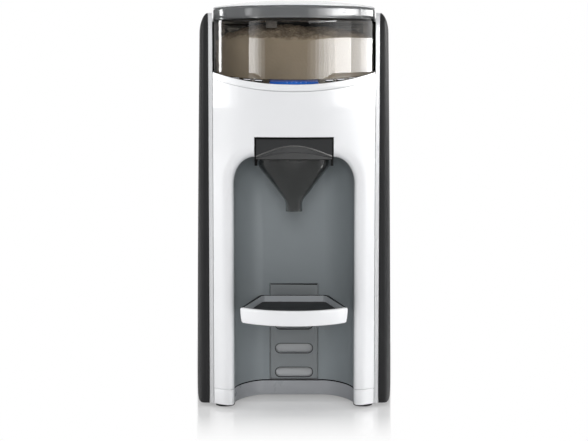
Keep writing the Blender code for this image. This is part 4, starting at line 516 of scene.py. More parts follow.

# %% [markdown]
# Formula powder is a pile of tiny crumbs. A Voronoi texture gives the crumbs, a fine noise the dust, and a slow
# noise lighter and darker drifts. The loose powder on top has larger crumbs in a strong relief, and its colour is
# light on each crumb and dark between crumbs, which is painted light and shade.

# %% Powder, circuit board and display finishes
powder_finish, tree, shader, place = shader_tree("powder")
crumbs = node(tree, "ShaderNodeTexVoronoi", {"Vector": place, "Scale": 420.0, "Randomness": 1.0})
dust = node(tree, "ShaderNodeTexNoise", {"Vector": place, "Scale": 1500.0, "Detail": 4.0})
drifts = node(tree, "ShaderNodeTexNoise", {"Vector": place, "Scale": 26.0, "Detail": 3.0})
lumps = maths(tree, "ADD", maths(tree, "MULTIPLY", crumbs.outputs["Distance"], 0.7),
              maths(tree, "MULTIPLY", dust.outputs["Fac"], 0.5))
drift = ramp(tree, drifts.outputs["Fac"], 0.35, 0.65, 0.0, 1.0)
feed(tree, shader, {"Base Color": mixed(tree, drift, (0.52, 0.465, 0.37, 1), (0.62, 0.56, 0.45, 1)),
                    "Roughness": ramp(tree, dust.outputs["Fac"], 0.3, 0.7, 0.85, 1.0),
                    "Normal": relief(tree, lumps, 0.35, 0.0006)})

loose_powder_painted_shade, tree, shader, place = shader_tree("loose_powder_painted_shade")
crumbs = node(tree, "ShaderNodeTexVoronoi", {"Vector": place, "Scale": 480.0, "Randomness": 1.0})
blotches = node(tree, "ShaderNodeTexNoise", {"Vector": place, "Scale": 150.0, "Detail": 4.0, "Roughness": 0.7})
# Pale on each crumb and dark between crumbs: painted light and shade, broken up by the blotches.
depth = maths(tree, "MULTIPLY", ramp(tree, crumbs.outputs["Distance"], 0.1, 0.75, 1.0, 0.35),
              ramp(tree, blotches.outputs["Fac"], 0.35, 0.62, 0.25, 1.0))
feed(tree, shader, {"Base Color": mixed(tree, depth, (0.34, 0.28, 0.21, 1), (0.95, 0.86, 0.71, 1)),
                    "Roughness": ramp(tree, blotches.outputs["Fac"], 0.3, 0.7, 0.8, 1.0),
                    "Normal": relief(tree, crumbs.outputs["Distance"], 0.9, 0.0012)})

board_finish, tree, shader, place = shader_tree("circuit_board")
tracks = node(tree, "ShaderNodeTexBrick", {"Vector": place, "Scale": 110.0, "Mortar Size": 0.03,
                                           "Color1": (0.012, 0.10, 0.045, 1), "Color2": (0.015, 0.13, 0.055, 1),
                                           "Mortar": (0.03, 0.22, 0.09, 1)})
feed(tree, shader, {"Base Color": tracks.outputs["Color"],
                    "Roughness": ramp(tree, tracks.outputs["Fac"], 0.0, 1.0, 0.42, 0.3)})

display_finish, tree, shader, place = shader_tree("display_blue")
centred = node(tree, "ShaderNodeMapping", {"Vector": place, "Location": (0, 0.090, 0)}).outputs["Vector"]
oval = node(tree, "ShaderNodeMapping", {"Vector": centred, "Scale": (42.0, 60.0, 0.0)}).outputs["Vector"]
glow = node(tree, "ShaderNodeTexGradient", {"Vector": oval}, gradient_type="SPHERICAL").outputs["Fac"]
blue = mixed(tree, glow, (0.006, 0.045, 0.24, 1), (0.020, 0.125, 0.50, 1))
feed(tree, shader, {"Base Color": blue, "Emission Color": blue, "Emission Strength": 0.26, "Roughness": 0.08,
                    "IOR": 1.04})

lit_mark, tree, shader, place = shader_tree("lit_mark")
speckle = node(tree, "ShaderNodeTexNoise", {"Vector": place, "Scale": 900.0})
feed(tree, shader, {"Base Color": (0.88, 0.89, 0.91, 1), "Emission Color": (0.88, 0.90, 0.95, 1),
                    "Emission Strength": 0.45,
                    "Roughness": ramp(tree, speckle.outputs["Fac"], 0.3, 0.7, 0.35, 0.45)})
figure_blue = plastic("figure_blue", (0.16, 0.30, 0.62), 0.3, Emission_Strength=0.25,
                      Emission_Color=(0.25, 0.45, 0.9, 1))
print("finishes in all:", len(bpy.data.materials))

# %% [markdown]
# The bay is cut through the white front with upright sides, arched corners and an edge that rolls in.
# The outline of its arched corner is a function: points from the top of the upright side round the corner to
# the funnel's window, each with the direction in which the rolled edge flares.

# %% The bay opening's outline
liner_low, liner_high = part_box("bay_liner")
cover_low, cover_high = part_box("funnel_cover")
roll_radius, roll_steps = 0.0095, 7
post_width, opening_depth, corner_rise = 0.0165, 0.114, 0.0213
opening_half_width = front_half_width - post_width
window_half_width = cover_high.x + fit
window_top_z = cover_high.z + fit
opening_top_z = case_top_z - opening_depth
opening_spring_z = opening_top_z - corner_rise


def opening_outline(corner_steps):
    """Points (x, z, flare x, flare z) of the right half, from its spring up round the corner."""
    reach_x, reach_z = opening_half_width - window_half_width, opening_top_z - opening_spring_z
    points = []
    for k in range(corner_steps + 1):
        a = pi / 2 * k / corner_steps
        points.append((window_half_width + reach_x * cos(a), opening_spring_z + reach_z * sin(a), cos(a), sin(a)))
    return points


print("opening is", round(2000 * opening_half_width, 1), "mm wide")

# %% [markdown]
# The white front is one moulded sheet: a cylinder wall with the bay's rolled opening and the funnel's window in
# it. A Boolean would leave long thin faces that shade badly on a glossy curve. So the sheet is skinned: columns
# run round the opening, and rows run from the outer edge to the opening, round the roll and back into the bay.

# %% White front, one half and its mirror
sheet_steps, shoulder_z = 11, 0.232


def front_column(outer, inner, flare, back_rows):
    """A column of points: over the front, then round the roll and back into the bay where there is a flare."""
    column = []
    for share in spread(0, 1, sheet_steps):
        x = outer[0] + (inner[0] - outer[0]) * share
        z = outer[1] + (inner[1] - outer[1]) * share
        column.append((x, front_y(x), z))
    if flare:
        fx, fz = flare
        edge_x, edge_z = inner[0] - fx * roll_radius, inner[1] - fz * roll_radius
        for wide, deep in quarter(roll_steps)[1:]:
            x, z = edge_x + fx * roll_radius * wide, edge_z + fz * roll_radius * wide
            column.append((x, front_y(x) + roll_radius * deep, z))
        start = column[-1][1]
        for share in spread(0, 1, back_rows + 1)[1:]:
            column.append((edge_x, start + (post_back_y - start) * share, edge_z))
    return column


def sheet_half(sign):
    """Rows of the front on one side of the middle."""
    side_x, seam_z = front_half_width, shell_low.z
    corner_z = rim_height(side_x) - bezel_height - fit
    corner = opening_outline(14)
    flare_columns = []
    for z in spread(seam_z, opening_spring_z, 7)[:-1]:
        flare_columns.append(((side_x, z), (opening_half_width + roll_radius, z), (1, 0)))
    for k, (x, z, fx, fz) in enumerate(corner):
        outer_z = opening_spring_z + (shoulder_z - opening_spring_z) * k / len(corner)
        flare_columns.append(((side_x, outer_z), (x + fx * roll_radius, z + fz * roll_radius), (fx, fz)))
    plain_columns = [((side_x, shoulder_z), (window_half_width, opening_top_z + roll_radius), None)]
    plain_columns.append(((side_x, (shoulder_z + corner_z) / 2), (window_half_width, window_top_z - 0.003), None))
    plain_columns.append(((side_x, corner_z), (window_half_width, window_top_z), None))
    for x in spread(1, 0, 13)[1:]:
        outer_x = side_x * x
        top = rim_height(outer_x) - bezel_height - fit
        plain_columns.append(((outer_x, top), (window_half_width * x, window_top_z), None))
    rolled = [front_column(o, i, f, 3) for o, i, f in flare_columns]
    rolled_front = [column[:sheet_steps] for column in rolled]
    plain = [front_column(o, i, None, 0) for o, i, f in plain_columns]
    mirrored = [[(sign * x, y, z) for x, y, z in column] for column in rolled]
    across = [[(sign * x, y, z) for x, y, z in column] for column in rolled_front[-1:] + plain]
    return mirrored, across


patches = []
for sign in (1, -1):
    for number, rows in enumerate(sheet_half(sign)):
        patches.append(skinned(f"front_patch_{sign}_{number}", rows))
front = joined(patches, "white_front")
weld(front)
applied(front, "SOLIDIFY", thickness=0.0022, offset=-1.0, use_even_offset=True)
outwards = sum(face.normal.y for face in front.data.polygons if face.center.y < front_y(0) + 0.001) < 0
print("front faces look", "forwards" if outwards else "backwards")
smooth(front, 40)
dress(front, "casing", white_gloss, "white_plastic", "front_shell")

# %% [markdown]
# The base is a flat horseshoe that carries on the front's curve and roll down to the feet. Its plan is one
# closed outline, drawn point by point, filled, extruded up and bevelled, as for any plate.

# %% Base plate
base_low, base_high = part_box("base")
bay_back_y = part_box("slot_panel")[0].y
bay_corner_reach, bay_power = 0.0233, 1.6
bay_flat = opening_half_width - bay_corner_reach


def bay_plan(steps):
    """The bay's plan from its right front edge to the middle of its back."""
    reach_x, reach_y = opening_half_width - bay_flat, bay_back_y - post_back_y
    points = []
    for k in range(steps + 1):
        a = pi / 2 * k / steps
        points.append((bay_flat + reach_x * max(cos(a), 0) ** (2 / bay_power),
                       post_back_y + reach_y * sin(a) ** (2 / bay_power)))
    return points


half = [(base_high.x, base_high.y), (base_high.x, 0)]
half += [(x, front_y(x)) for x in spread(front_half_width, opening_half_width + roll_radius, 6)]
for wide, deep in quarter(roll_steps)[1:]:
    x = opening_half_width + roll_radius * wide
    half.append((x, front_y(x) + roll_radius * deep))
half += bay_plan(20)
plan = half + [(-x, y) for x, y in reversed(half)]
base = slab("base_plate", plan, base_low.z, base_high.z)
soften(base, 0.0008, 3)
dress(base, "casing", white_gloss, "white_plastic", "base")


def in_bay_edge(place, normal):
    inside_x, inside_y = opening_half_width + 0.0012, bay_back_y + 0.0012
    return abs(place.x) < inside_x and post_back_y - 0.0002 < place.y < inside_y and normal.z < 0.97


# The base's edge inside the bay gets a grey painted shade, and its top strip a near-black painted shadow line.
print("faces in the bay's lower edge:", paint(base, base_shade, in_bay_edge))
paint(base, painted_shadow_black, lambda place, normal: in_bay_edge(place, normal) and place.z > base_high.z - 0.0007)

# %% [markdown]
# Each foot is a rubber button with a rounded edge. One is turned, and the others are copies with their own mesh,
# moved in edit mode so that each object stays at the origin.

# %% Four rubber feet
def copied(obj, name, shift=(0, 0, 0)):
    made = obj.copy()
    made.data = obj.data.copy()
    made.name = made.data.name = name
    bpy.context.scene.collection.objects.link(made)
    edit(made)
    bpy.ops.mesh.select_all(action="SELECT")
    bpy.ops.transform.translate(value=shift)
    leave()
    return made


foot_low, foot_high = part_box("foot_front_left")
foot_centre = (foot_low + foot_high) / 2
foot_radius = (foot_high.x - foot_low.x) / 2
profile = [(0, 0.0004), (foot_radius * 0.55, 0.0004), (foot_radius * 0.62, 0), (foot_radius - 0.0009, 0),
           (foot_radius - 0.0003, 0.0003), (foot_radius, 0.0009), (foot_radius, 0.0027), (0.0036, 0.0027),
           (0.0036, foot_high.z), (0, foot_high.z)]
foot = spun("foot_pad", profile, 40, False, (foot_centre.x, foot_centre.y, 0))
smooth(foot)
for corner in ("front_left", "front_right", "rear_left", "rear_right"):
    low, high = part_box(f"foot_{corner}")
    piece = copied(foot, f"foot_pad_{corner}", ((low + high) / 2 - foot_centre) * Vector((1, 1, 0)))
    dress(piece, "casing", rubber, "rubber", f"foot_{corner}")
bpy.data.objects.remove(foot)

# %% [markdown]
# The bezel is the white rim above the front, one slim bar whose top edge dips to the nose. Its section has a
# rounded outer edge, and is laid along the curve in small steps.

# %% Bezel above the front
rows = []
for x in spread(-front_half_width, front_half_width, 61):
    top, low = rim_height(x), rim_height(x) - bezel_height
    outer, inner, edge = front_y(x), front_y(x, bezel_depth), 0.0009
    section = [(x, inner, low), (x, inner, top - 0.0003), (x, inner - 0.0003, top)]
    section += [(x, outer + edge * out, top - edge * down) for out, down in quarter(5)]
    section += [(x, outer, low + 0.0003), (x, outer + 0.0003, low)]
    rows.append(section)
bezel = skinned("bezel_rim", rows, around=True, ends=True)
smooth(bezel, 50)
dress(bezel, "casing", white_gloss, "white_plastic", "top_bezel")

# %% [markdown]
# The control panel is a black gloss sheet between the container and the bezel. It is ruled: straight lines run
# from the container's seat to the bezel, and the sheet is laid over them and then given a thickness. The holes
# for the display and the keys are cut afterwards, and their edges softened.

# %% Control panel sheet
seat_radius = container_radius + 0.0004
panel_sweep = radians(77)
panel_thickness = 0.002


def panel_line(share):
    a = share * panel_sweep
    back = Vector((seat_radius * sin(a), -seat_radius * cos(a), 0))
    back.z = seat_height(back.y)
    x = share * (front_half_width - fit)
    return back, Vector((x, front_y(x, bezel_depth + fit), rim_height(x) - 0.0004))


def panel_height(x, y):
    """The panel's height over a point of the plan, found by halving."""
    low, high = -1.07, 1.07
    for _ in range(40):
        middle = (low + high) / 2
        back, rim = panel_line(middle)
        if (rim.x - back.x) * (y - back.y) > (rim.y - back.y) * (x - back.x):
            low = middle
        else:
            high = middle
    back, rim = panel_line(low)
    return back.z + (rim.z - back.z) * (y - back.y) / (rim.y - back.y)


rows = []
for share in spread(-1, 1, 61):
    back, rim = panel_line(share)
    down = Vector((0, 0, -panel_thickness))
    tops = [back.lerp(rim, s) for s in spread(0, 1, 5)]
    rows.append([back + down] + tops + [rim + down])
panel = skinned("panel_gloss", rows, around=True, ends=True)
print("panel sheet", len(panel.data.polygons), "faces")

# %% [markdown]
# The display is a blue window with its back light showing as a soft glow. The keys are rounded pads that stand
# a little proud, each with a pale touch mark let into its top. Window, keys and their holes share one outline
# function each, with a margin for the hole.

# %% Display window and its hole
display_low, display_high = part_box("display_window")
display_half, display_thickness = display_high.x, 0.0017
display_near_share, display_far_share = 0.10, 0.87


def display_rows(margin, lift, thickness, count=25):
    rows = []
    for x in spread(-display_half - margin, display_half + margin, count):
        seat, rim = -sqrt(seat_radius**2 - x**2), front_y(x, bezel_depth + fit)
        near, far = seat + (rim - seat) * display_near_share + margin, seat + (rim - seat) * display_far_share - margin
        top = [(x, y, panel_height(x, y) + lift) for y in (near, far)]
        rows.append([top[0], top[1], (x, far, top[1][2] - thickness), (x, near, top[0][2] - thickness)])
    return rows


display = skinned("display_glass", display_rows(0, 0, display_thickness), around=True, ends=True)
soften(display, 0.0002, 2)
dress(display, "casing", display_finish, "display_blue", "display_window")
carve(panel, skinned("display_hole", display_rows(fit, 0.004, 0.010), around=True, ends=True))

# %% [markdown]
# The display shows three figures in seven-bar form. Every bar is a small cube, and the cubes are joined and then
# laid onto the sloping panel.

# %% Figures on the display
def figure(x, segments, size=0.0042):
    """One figure made of bars, laid flat on the display: each bar is a cube scaled to its place."""
    places = {"top": (0, 1, 1, 0), "middle": (0, 0, 1, 0), "bottom": (0, -1, 1, 0), "upper_left": (-1, 0.5, 0, 1),
              "upper_right": (1, 0.5, 0, 1), "lower_left": (-1, -0.5, 0, 1), "lower_right": (1, -0.5, 0, 1)}
    bars = []
    for name in segments:
        across, along, wide, tall = places[name]
        px, py = x + across * size / 2, figure_y + along * size
        long, thin = size * 0.8, size * 0.22
        bars.append(block(f"bar_{name}", (px, py, panel_height(px, py)),
                          (long if wide else thin, long if tall else thin, bar_thickness)))
    return bars


figure_y, figure_spacing = (display_low.y + display_high.y) / 2 - 0.002, 0.0075
bar_thickness = 0.0001
all_bars = ["top", "middle", "bottom", "upper_left", "upper_right", "lower_left", "lower_right"]
bars = figure(-figure_spacing, ["upper_right", "lower_right"])
bars += figure(0, [name for name in all_bars if name != "lower_left"])
bars += figure(figure_spacing, [name for name in all_bars if name != "middle"])
figures = joined(bars, "display_figures")
for point in figures.data.vertices:
    height = panel_height(point.co.x, point.co.y)
    point.co.z = height + (bar_thickness if point.co.z > height else -bar_thickness)
dress(figures, "casing", figure_blue, None)

# %% [markdown]
# Three keys stand on each side, on an arc between the container and the bezel. A key is an outline extruded up,
# with its top pressed to the panel's slope. The same outline, a little wider, cuts its hole in the panel.

# %% Six keys with their marks
key_share, key_angles = 0.4632, (19.5, 26.5, 33.5)
key_arc_radius = seat_radius + (front_radius - front_centre_y - bezel_depth - seat_radius) * key_share
key_half_width, key_half_depth = 0.0037, 0.0031


def rounded(x, y, half_x, half_y, count, power):
    """An outline between an ellipse and a rectangle."""
    points = []
    for k in range(count):
        a = 2 * pi * k / count
        c, s = cos(a), sin(a)
        points.append((x + half_x * copysign(abs(c) ** (2 / power), c),
                       y + half_y * copysign(abs(s) ** (2 / power), s)))
    return points


def key_cap(name, angle, margin=0.0, proud=0.0004, deep=0.0):
    x, y = key_arc_radius * sin(angle), -key_arc_radius * cos(angle)
    low_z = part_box(name)[0].z - deep
    outline = rounded(x, y, key_half_width + margin, key_half_depth + margin, 32, 3)
    cap = slab(f"{name}_cap" if not margin else f"{name}_hole", outline, low_z, low_z + 0.02)
    for point in cap.data.vertices:
        if point.co.z > low_z + 0.01:
            point.co.z = panel_height(point.co.x, point.co.y) + proud
    return cap


for side, sign in (("left", -1), ("right", 1)):
    for number, angle in enumerate(key_angles, 1):
        name = f"key_{side}_{number}"
        carve(panel, key_cap(name, sign * radians(angle), fit, 0.006, 0.004))
        cap = key_cap(name, sign * radians(angle))
        edit(cap)
        pick(cap, "FACE", lambda middle, normal: normal.z > 0.9)
        bpy.ops.mesh.bevel(offset=0.00025, segments=2, affect="EDGES")
        bpy.ops.mesh.select_all(action="DESELECT")
        mesh = bmesh.from_edit_mesh(cap.data)
        for face in mesh.faces:
            face.select_set(face.normal.z > 0.9 and len(face.verts) > 20)
        bmesh.update_edit_mesh(cap.data)
        bpy.ops.mesh.inset(thickness=0.0004)
        bpy.ops.mesh.inset(thickness=0.00012, depth=-0.00006)
        mesh = bmesh.from_edit_mesh(cap.data)
        marked = [face.index for face in mesh.faces if face.select]
        leave()
        smooth(cap)
        dress(cap, name, black_gloss, None, name)
        cap.data.materials.append(lit_mark)
        for index in marked:
            cap.data.polygons[index].material_index = 1
soften(panel, 0.00018, 2)
dress(panel, "casing", black_gloss, "black_gloss", "control_panel")

# %% [markdown]
# On each side a thin white frame runs from front to back. Its plan at each height is a slim strip that bends at
# the middle of the machine, and its front corner is rounded off at the top.

# %% White side frames
frame_thickness = 0.0031
frame_rear_x = frame_high.x - frame_thickness
frame_front_x = front_half_width + fit
frame_front_y = front_y(frame_front_x)
corner_radius = 0.012


def frame_x(y):
    share = min(max(y / frame_front_y, 0), 1)
    return frame_rear_x + (frame_front_x - frame_rear_x) * share


def top_corner(z):
    over = max(z - (case_top_z - corner_radius), 0)
    return corner_radius - sqrt(max(corner_radius**2 - over**2, 0))


corner_heights = [case_top_z - corner_radius * down for down, _ in quarter(12)]
for side, sign in (("left", -1), ("right", 1)):
    rows = []
    for z in spread(frame_low.z, case_top_z - corner_radius, 4)[:-1] + corner_heights:
        inner_front_y = frame_front_y + top_corner(z)
        outer_front_y = front_y(frame_front_x + frame_thickness) + top_corner(z)
        points = [(frame_x(inner_front_y), inner_front_y)]
        points += [(frame_x(y) + frame_thickness, y) for y in (outer_front_y, 0, frame_high.y)]
        points += [(frame_x(y), y) for y in (frame_high.y, 0)]
        rows.append([(sign * x, y, z) for x, y in points])
    slim = skinned(f"frame_strip_{side}", rows, around=True, ends=True)
    soften(slim, 0.0004, 2, 50)
    # The side frames are white plastic with painted shade in their colour.
    dress(slim, "casing", white_frame_painted_shade, "white_plastic", f"side_frame_{side}")

# %% [markdown]
# A dark side panel is skinned over plans stacked one above the other. It swells most a little behind its middle,
# gets slimmer upwards and is rounded over at its top.

# %% Dark side panels
panel_low, panel_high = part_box("side_panel_right")
panel_reach = panel_high.x - frame_rear_x - frame_thickness - fit
widest_y, top_round = 0.035, 0.013


def panel_plan(z, count):
    """The dark panel's plan at a height: a blunt front and a long swell, and a flat side against the frame."""
    front = front_y(frame_front_x + frame_thickness) + fit + top_corner(z)
    rear = panel_high.y
    height = min(max((z - case_top_z) / top_round + 1, 0), 1)
    reach = panel_reach * (1 - 0.38 * (z / case_top_z) ** 1.4) * max(sqrt(1 - height**2), 0.15)
    outer, inner = [], []
    for k in range(count + 1):
        y = (front + rear) / 2 - (rear - front) / 2 * cos(pi * k / count)
        end, power = (front, 6) if y < widest_y else (rear, 2.5)
        share = min((y - widest_y) / (end - widest_y), 1)
        swell = (0.85 + 0.15 * min(max(y / widest_y, 0), 1)) * (1 - share**power) ** (1 / power)
        x = frame_x(y) + frame_thickness + fit
        outer.append((x + reach * swell, y))
        inner.append((x, y))
    return outer + inner[::-1][1:-1]


heights = spread(panel_low.z, case_top_z - top_round, 16)[:-1]
heights += [case_top_z - top_round * down for down, _ in quarter(14)]
for side, sign in (("left", -1), ("right", 1)):
    rows = [[(sign * x, y, z) for x, y in panel_plan(z, 56)] for z in heights]
    cheek = skinned(f"dark_cheek_{side}", rows, around=True, ends=True)
    smooth(cheek, 45)
    dress(cheek, "casing", dark_satin, "dark_plastic", f"side_panel_{side}")

# %% [markdown]
# The bay is lined by a grey moulding: a curved wall and a ceiling with a notch for the funnel. The wall is its
# plan drawn as a line, pulled up, and thickened outwards.

# %% Bay lining
liner_wall = 0.0022
half = [(opening_half_width, post_back_y)] + bay_plan(28)[1:]
line = half + [(-x, y) for x, y in reversed(half)]
wall = drawn("bay_wall", [(x, y, liner_low.z) for x, y in line])
edit(wall)
bpy.ops.mesh.select_all(action="SELECT")
bpy.ops.mesh.extrude_region_move(TRANSFORM_OT_translate={"value": (0, 0, liner_high.z - liner_low.z)})
leave()
weld(wall)
inward = sum(face.normal.y for face in wall.data.polygons if abs(face.center.x) < bay_flat)
applied(wall, "SOLIDIFY", thickness=liner_wall, offset=-1.0 if inward < 0 else 1.0, use_even_offset=True)
weld(wall)
slot_low, slot_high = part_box("slot_panel")
window = block("slot_window", (0, bay_back_y, (liner_low.z + slot_high.z) / 2),
               (2 * (slot_high.x + fit), 0.02, slot_high.z - liner_low.z + 2 * fit))
for point in window.data.vertices:
    if point.co.z < liner_low.z + 0.01:
        point.co.z -= 0.005
carve(wall, window)
smooth(wall, 40)
dress(wall, "casing", bay_grey, "grey_plastic", "bay_liner")

ceiling_z = liner_high.z - liner_wall
notch_half, notch_back_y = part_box("funnel")[1].x - 0.0014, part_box("funnel")[1].y
outline = [(opening_half_width - 0.0001, post_back_y + fit)] + [(x - 0.0001, y - 0.0001) for x, y in half[1:]]
outline += [(-x, y) for x, y in reversed(outline)]
outline += [(-notch_half, post_back_y + fit), (-notch_half, notch_back_y), (notch_half, notch_back_y),
            (notch_half, post_back_y + fit)]
ceiling = slab("bay_ceiling", outline, ceiling_z, liner_high.z)
smooth(ceiling)
dress(ceiling, "casing", bay_grey, "grey_plastic", "bay_liner")

# %% [markdown]
# The narrow panel at the back of the bay has pill-shaped pockets, one for each height of the tray. It starts as
# a cube. The pockets are cut with pill-shaped tools. Their insides get a paler grey, which is painted light, and
# the bevelled rims round them a near-black painted shadow line.

# %% Slot panel with pill pockets
def pill(half_length, half_height, steps=10):
    straight = half_length - half_height
    points = []
    for k in range(steps + 1):
        a = -pi / 2 + pi * k / steps
        points.append((straight + half_height * cos(a), half_height * sin(a)))
    return points + [(-x, -z) for x, z in points]


slots = block("slot_plate", (slot_low + slot_high) / 2, slot_high - slot_low)
pocket_depth, pocket_half_length, pocket_half_height = 0.007, 0.0152, 0.00375
lowest_pocket_z, pocket_spacing, pocket_count = 0.022, 0.020, 4
for number in range(pocket_count):
    z = lowest_pocket_z + pocket_spacing * number
    rows = [[(x, y, z + dz) for x, dz in pill(pocket_half_length, pocket_half_height)]
            for y in (slot_low.y - 0.01, slot_low.y + pocket_depth)]
    carve(slots, skinned(f"pocket_{number}", rows, around=True, ends=True))
soften(slots, 0.0006, 2, 60)
dress(slots, "casing", slot_grey, "grey_plastic", "slot_panel")


def in_pocket(place, normal):
    deep = slot_low.y + 0.0006 < place.y < slot_low.y + pocket_depth + 0.0003
    return deep and abs(place.x) < pocket_half_length + 0.0002


def on_pocket_edge(place, normal):
    near = abs(place.x) < pocket_half_length + 0.001 and place.z < 0.1
    return near and -0.985 < normal.y < -0.05 and not in_pocket(place, normal)


# Pocket insides get painted light, and the bevelled rims round them a near-black painted shadow line.
print("pocket faces:", paint(slots, pocket_painted_light, in_pocket), "edge faces:", paint(slots, painted_shadow_black, on_pocket_edge))

# %% [markdown]
# The tray is a grey shelf with a white lip in front and a dark mat on top. The shelf is an outline extruded up,
# and the recess for the mat is cut into it with a smaller outline. A peg at its back fits the highest pocket.

# %% Tray shelf
tray_low, tray_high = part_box("tray_body")
lip_low, lip_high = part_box("tray_lip")
mat_low, mat_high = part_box("tray_mat")
lip_half, lip_thickness = lip_high.x, 0.0036
lip_radius = lip_half + 0.0123
tray_back_gap, tray_corner_cut = 0.0006, 0.0027
tray_back_y, tray_back_half = bay_back_y - tray_back_gap, bay_flat + 0.0013


def tray_outline(rim):
    """The shelf's plan, moved in by rim: the lip's arc, a shoulder behind each end of the lip, and cut corners."""
    radius, reach = lip_radius - lip_thickness - fit, asin(lip_half / lip_radius)
    arc = [(radius * sin(a), lip_low.y + lip_radius - radius * cos(a)) for a in spread(-reach, reach, 33)]
    front = [(x * (1 - rim / lip_half), y + rim) for x, y in arc]
    corners = [(lip_half - fit - rim, arc[-1][1] + rim),
               (tray_back_half + tray_corner_cut - rim, tray_back_y - tray_corner_cut - rim),
               (tray_back_half - rim, tray_back_y - rim)]
    return front + corners + [(-x, y) for x, y in reversed(corners)]


tray_rim = 0.002
shelf = slab("tray_shelf", tray_outline(0), tray_low.z, tray_high.z)
carve(shelf, slab("tray_recess", tray_outline(tray_rim), mat_low.z - fit, tray_high.z + 0.01))
peg_z = lowest_pocket_z + pocket_spacing * (pocket_count - 1)
rows = [[(x, y, peg_z + dz) for x, dz in pill(pocket_half_length - 2 * fit, pocket_half_height - fit)]
        for y in (tray_back_y - 0.0002, tray_high.y)]
peg = skinned("tray_peg", rows, around=True, ends=True)
applied(shelf, "BOOLEAN", operation="UNION", solver="EXACT", object=peg)
bpy.data.objects.remove(peg)
soften(shelf, 0.0003, 2, 50)
dress(shelf, "tray", tray_grey, "grey_plastic", "tray_body")


def on_shelf_rim(place, normal):
    beside = abs(place.x) > tray_back_half - 0.001 and normal.z < 0.5
    return place.z > tray_high.z - 0.0002 or (beside and abs(normal.x) > 0.3 and normal.x * place.x > 0)


# The shelf's top rim and outer sides get a near-black painted shadow line, for the gap beside the bay walls.
print("dark faces on the shelf's rim:", paint(shelf, painted_shadow_black, on_shelf_rim))

# %% [markdown]
# The lip is a section with rounded edges, laid along the shelf's front arc. The mat is one more outline extruded
# up, which fills the recess.

# %% Tray lip and mat
edge, lip_taper = 0.0012, 0.0016
rows = []
for share in spread(-1, 1, 61):
    section = [(lip_thickness, lip_low.z), (lip_thickness, lip_high.z - 0.0003), (lip_thickness - 0.0003, lip_high.z)]
    section += [(edge * back, lip_high.z - edge * down) for back, down in quarter(5)]
    section += [(0, z) for z in spread(lip_high.z - edge, lip_low.z + edge, 5)[1:-1]]
    section += [(edge * back, lip_low.z + edge * up) for up, back in quarter(5)]
    row = []
    for inset, z in section:
        down = (lip_high.z - z) / (lip_high.z - lip_low.z)
        reach = asin((lip_half - lip_taper * down**3) / lip_radius)
        radius = lip_radius - inset
        row.append((radius * sin(share * reach), lip_low.y + lip_radius - radius * cos(share * reach), z))
    rows.append(row)
lip = skinned("tray_lip_band", rows, around=True, ends=True)
smooth(lip, 40)
dress(lip, "tray", white_gloss, "white_plastic", "tray_lip")

mat = slab("tray_mat_pad", tray_outline(tray_rim + fit), mat_low.z, mat_high.z)
soften(mat, 0.0003, 2)
dress(mat, "tray", mat_dark, "dark_plastic", "tray_mat")

# %% [markdown]
# The funnel is smoked plastic. Its plan changes from a rounded rectangle at the top to a round spout, so rings
# of the right plan are laid one above the other, first down the outside and then up the inside.

# %% Funnel
funnel_low, funnel_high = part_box("funnel")
flange_half_x, flange_thickness = funnel_high.x, 0.002
funnel_half_x, wall_thickness = flange_half_x - 0.0018, 0.0016
flange_half_y = (funnel_high.y - funnel_low.y) / 2
funnel_centre_y = (funnel_high.y + funnel_low.y) / 2
funnel_half_y = flange_half_y - 0.0006
spout_y, spout_radius = funnel_centre_y - 0.0135, 0.0066
mouth_height, cone_height = 0.0205, 0.030
cone_top_z = funnel_high.z - mouth_height
cone_low_z = cone_top_z - cone_height
flange_z = liner_high.z + fit


def funnel_ring(z, inset, blend=0.0):
    """A ring between the mouth's plan, at blend 0, and the spout's circle, at blend 1."""
    mouth = rounded(0, funnel_centre_y, funnel_half_x - inset, funnel_half_y - inset, 72, 2.6)
    round_ring = rounded(0, spout_y, spout_radius - inset, spout_radius - inset, 72, 2)
    return [(a + (c - a) * blend, b + (d - b) * blend, z) for (a, b), (c, d) in zip(mouth, round_ring)]


def ease(share):
    """A share that holds still close to both of its ends, for the shoulders of the cone."""
    return min(max((share * 1.08 - 0.04), 0), 1)


outside = [funnel_ring(funnel_low.z, 0, 1), funnel_ring(funnel_low.z + 0.0004, 0, 1)]
cone = spread(0, 1, 13)
outside += [funnel_ring(cone_low_z + cone_height * s, 0, 1 - ease(s)) for s in cone]
outside += [funnel_ring(flange_z, 0)]
flange = rounded(0, funnel_centre_y, flange_half_x, flange_half_y, 72, 7)
outside += [[(x, y, z) for x, y in flange] for z in (flange_z, flange_z + flange_thickness)]
outside += [funnel_ring(flange_z + flange_thickness, 0), funnel_ring(funnel_high.z, 0)]
inside = [funnel_ring(funnel_high.z, wall_thickness), funnel_ring(cone_top_z, wall_thickness)]
inside += [funnel_ring(cone_low_z + cone_height * s, wall_thickness, 1 - ease(s)) for s in cone[::-1]]
inside += [funnel_ring(funnel_low.z, wall_thickness, 1)]
hopper = skinned("funnel_hopper", outside + inside, around=True, over=True)
smooth(hopper, 40)
dress(hopper, "funnel", funnel_smoke, "smoked_plastic", "funnel")

# %% [markdown]
# The funnel's cover follows the front's curve, with a small leg at each end. A shallow arch is pressed into it.
# Its ridge carries a thin painted highlight line, a paler painted light lies below a second, flatter arch, and a
# near-black painted shadow line runs round the cover's top, sides and foot.

# %% Funnel cover with its arch
leg_width, leg_height = 0.0024, 0.0048
cover_edge_z = cover_low.z + leg_height
upper_arch, lower_arch = (0.0086, 0.0022), (0.0050, 0.0008)


def arch_height(x, arch):
    """An arch's line across the cover, highest in the middle. An arch is its rise and the height of its feet."""
    rise, foot = arch
    return cover_edge_z + foot + rise * cos(pi / 2 * min(abs(x) / cover_high.x, 1)) ** 1.15


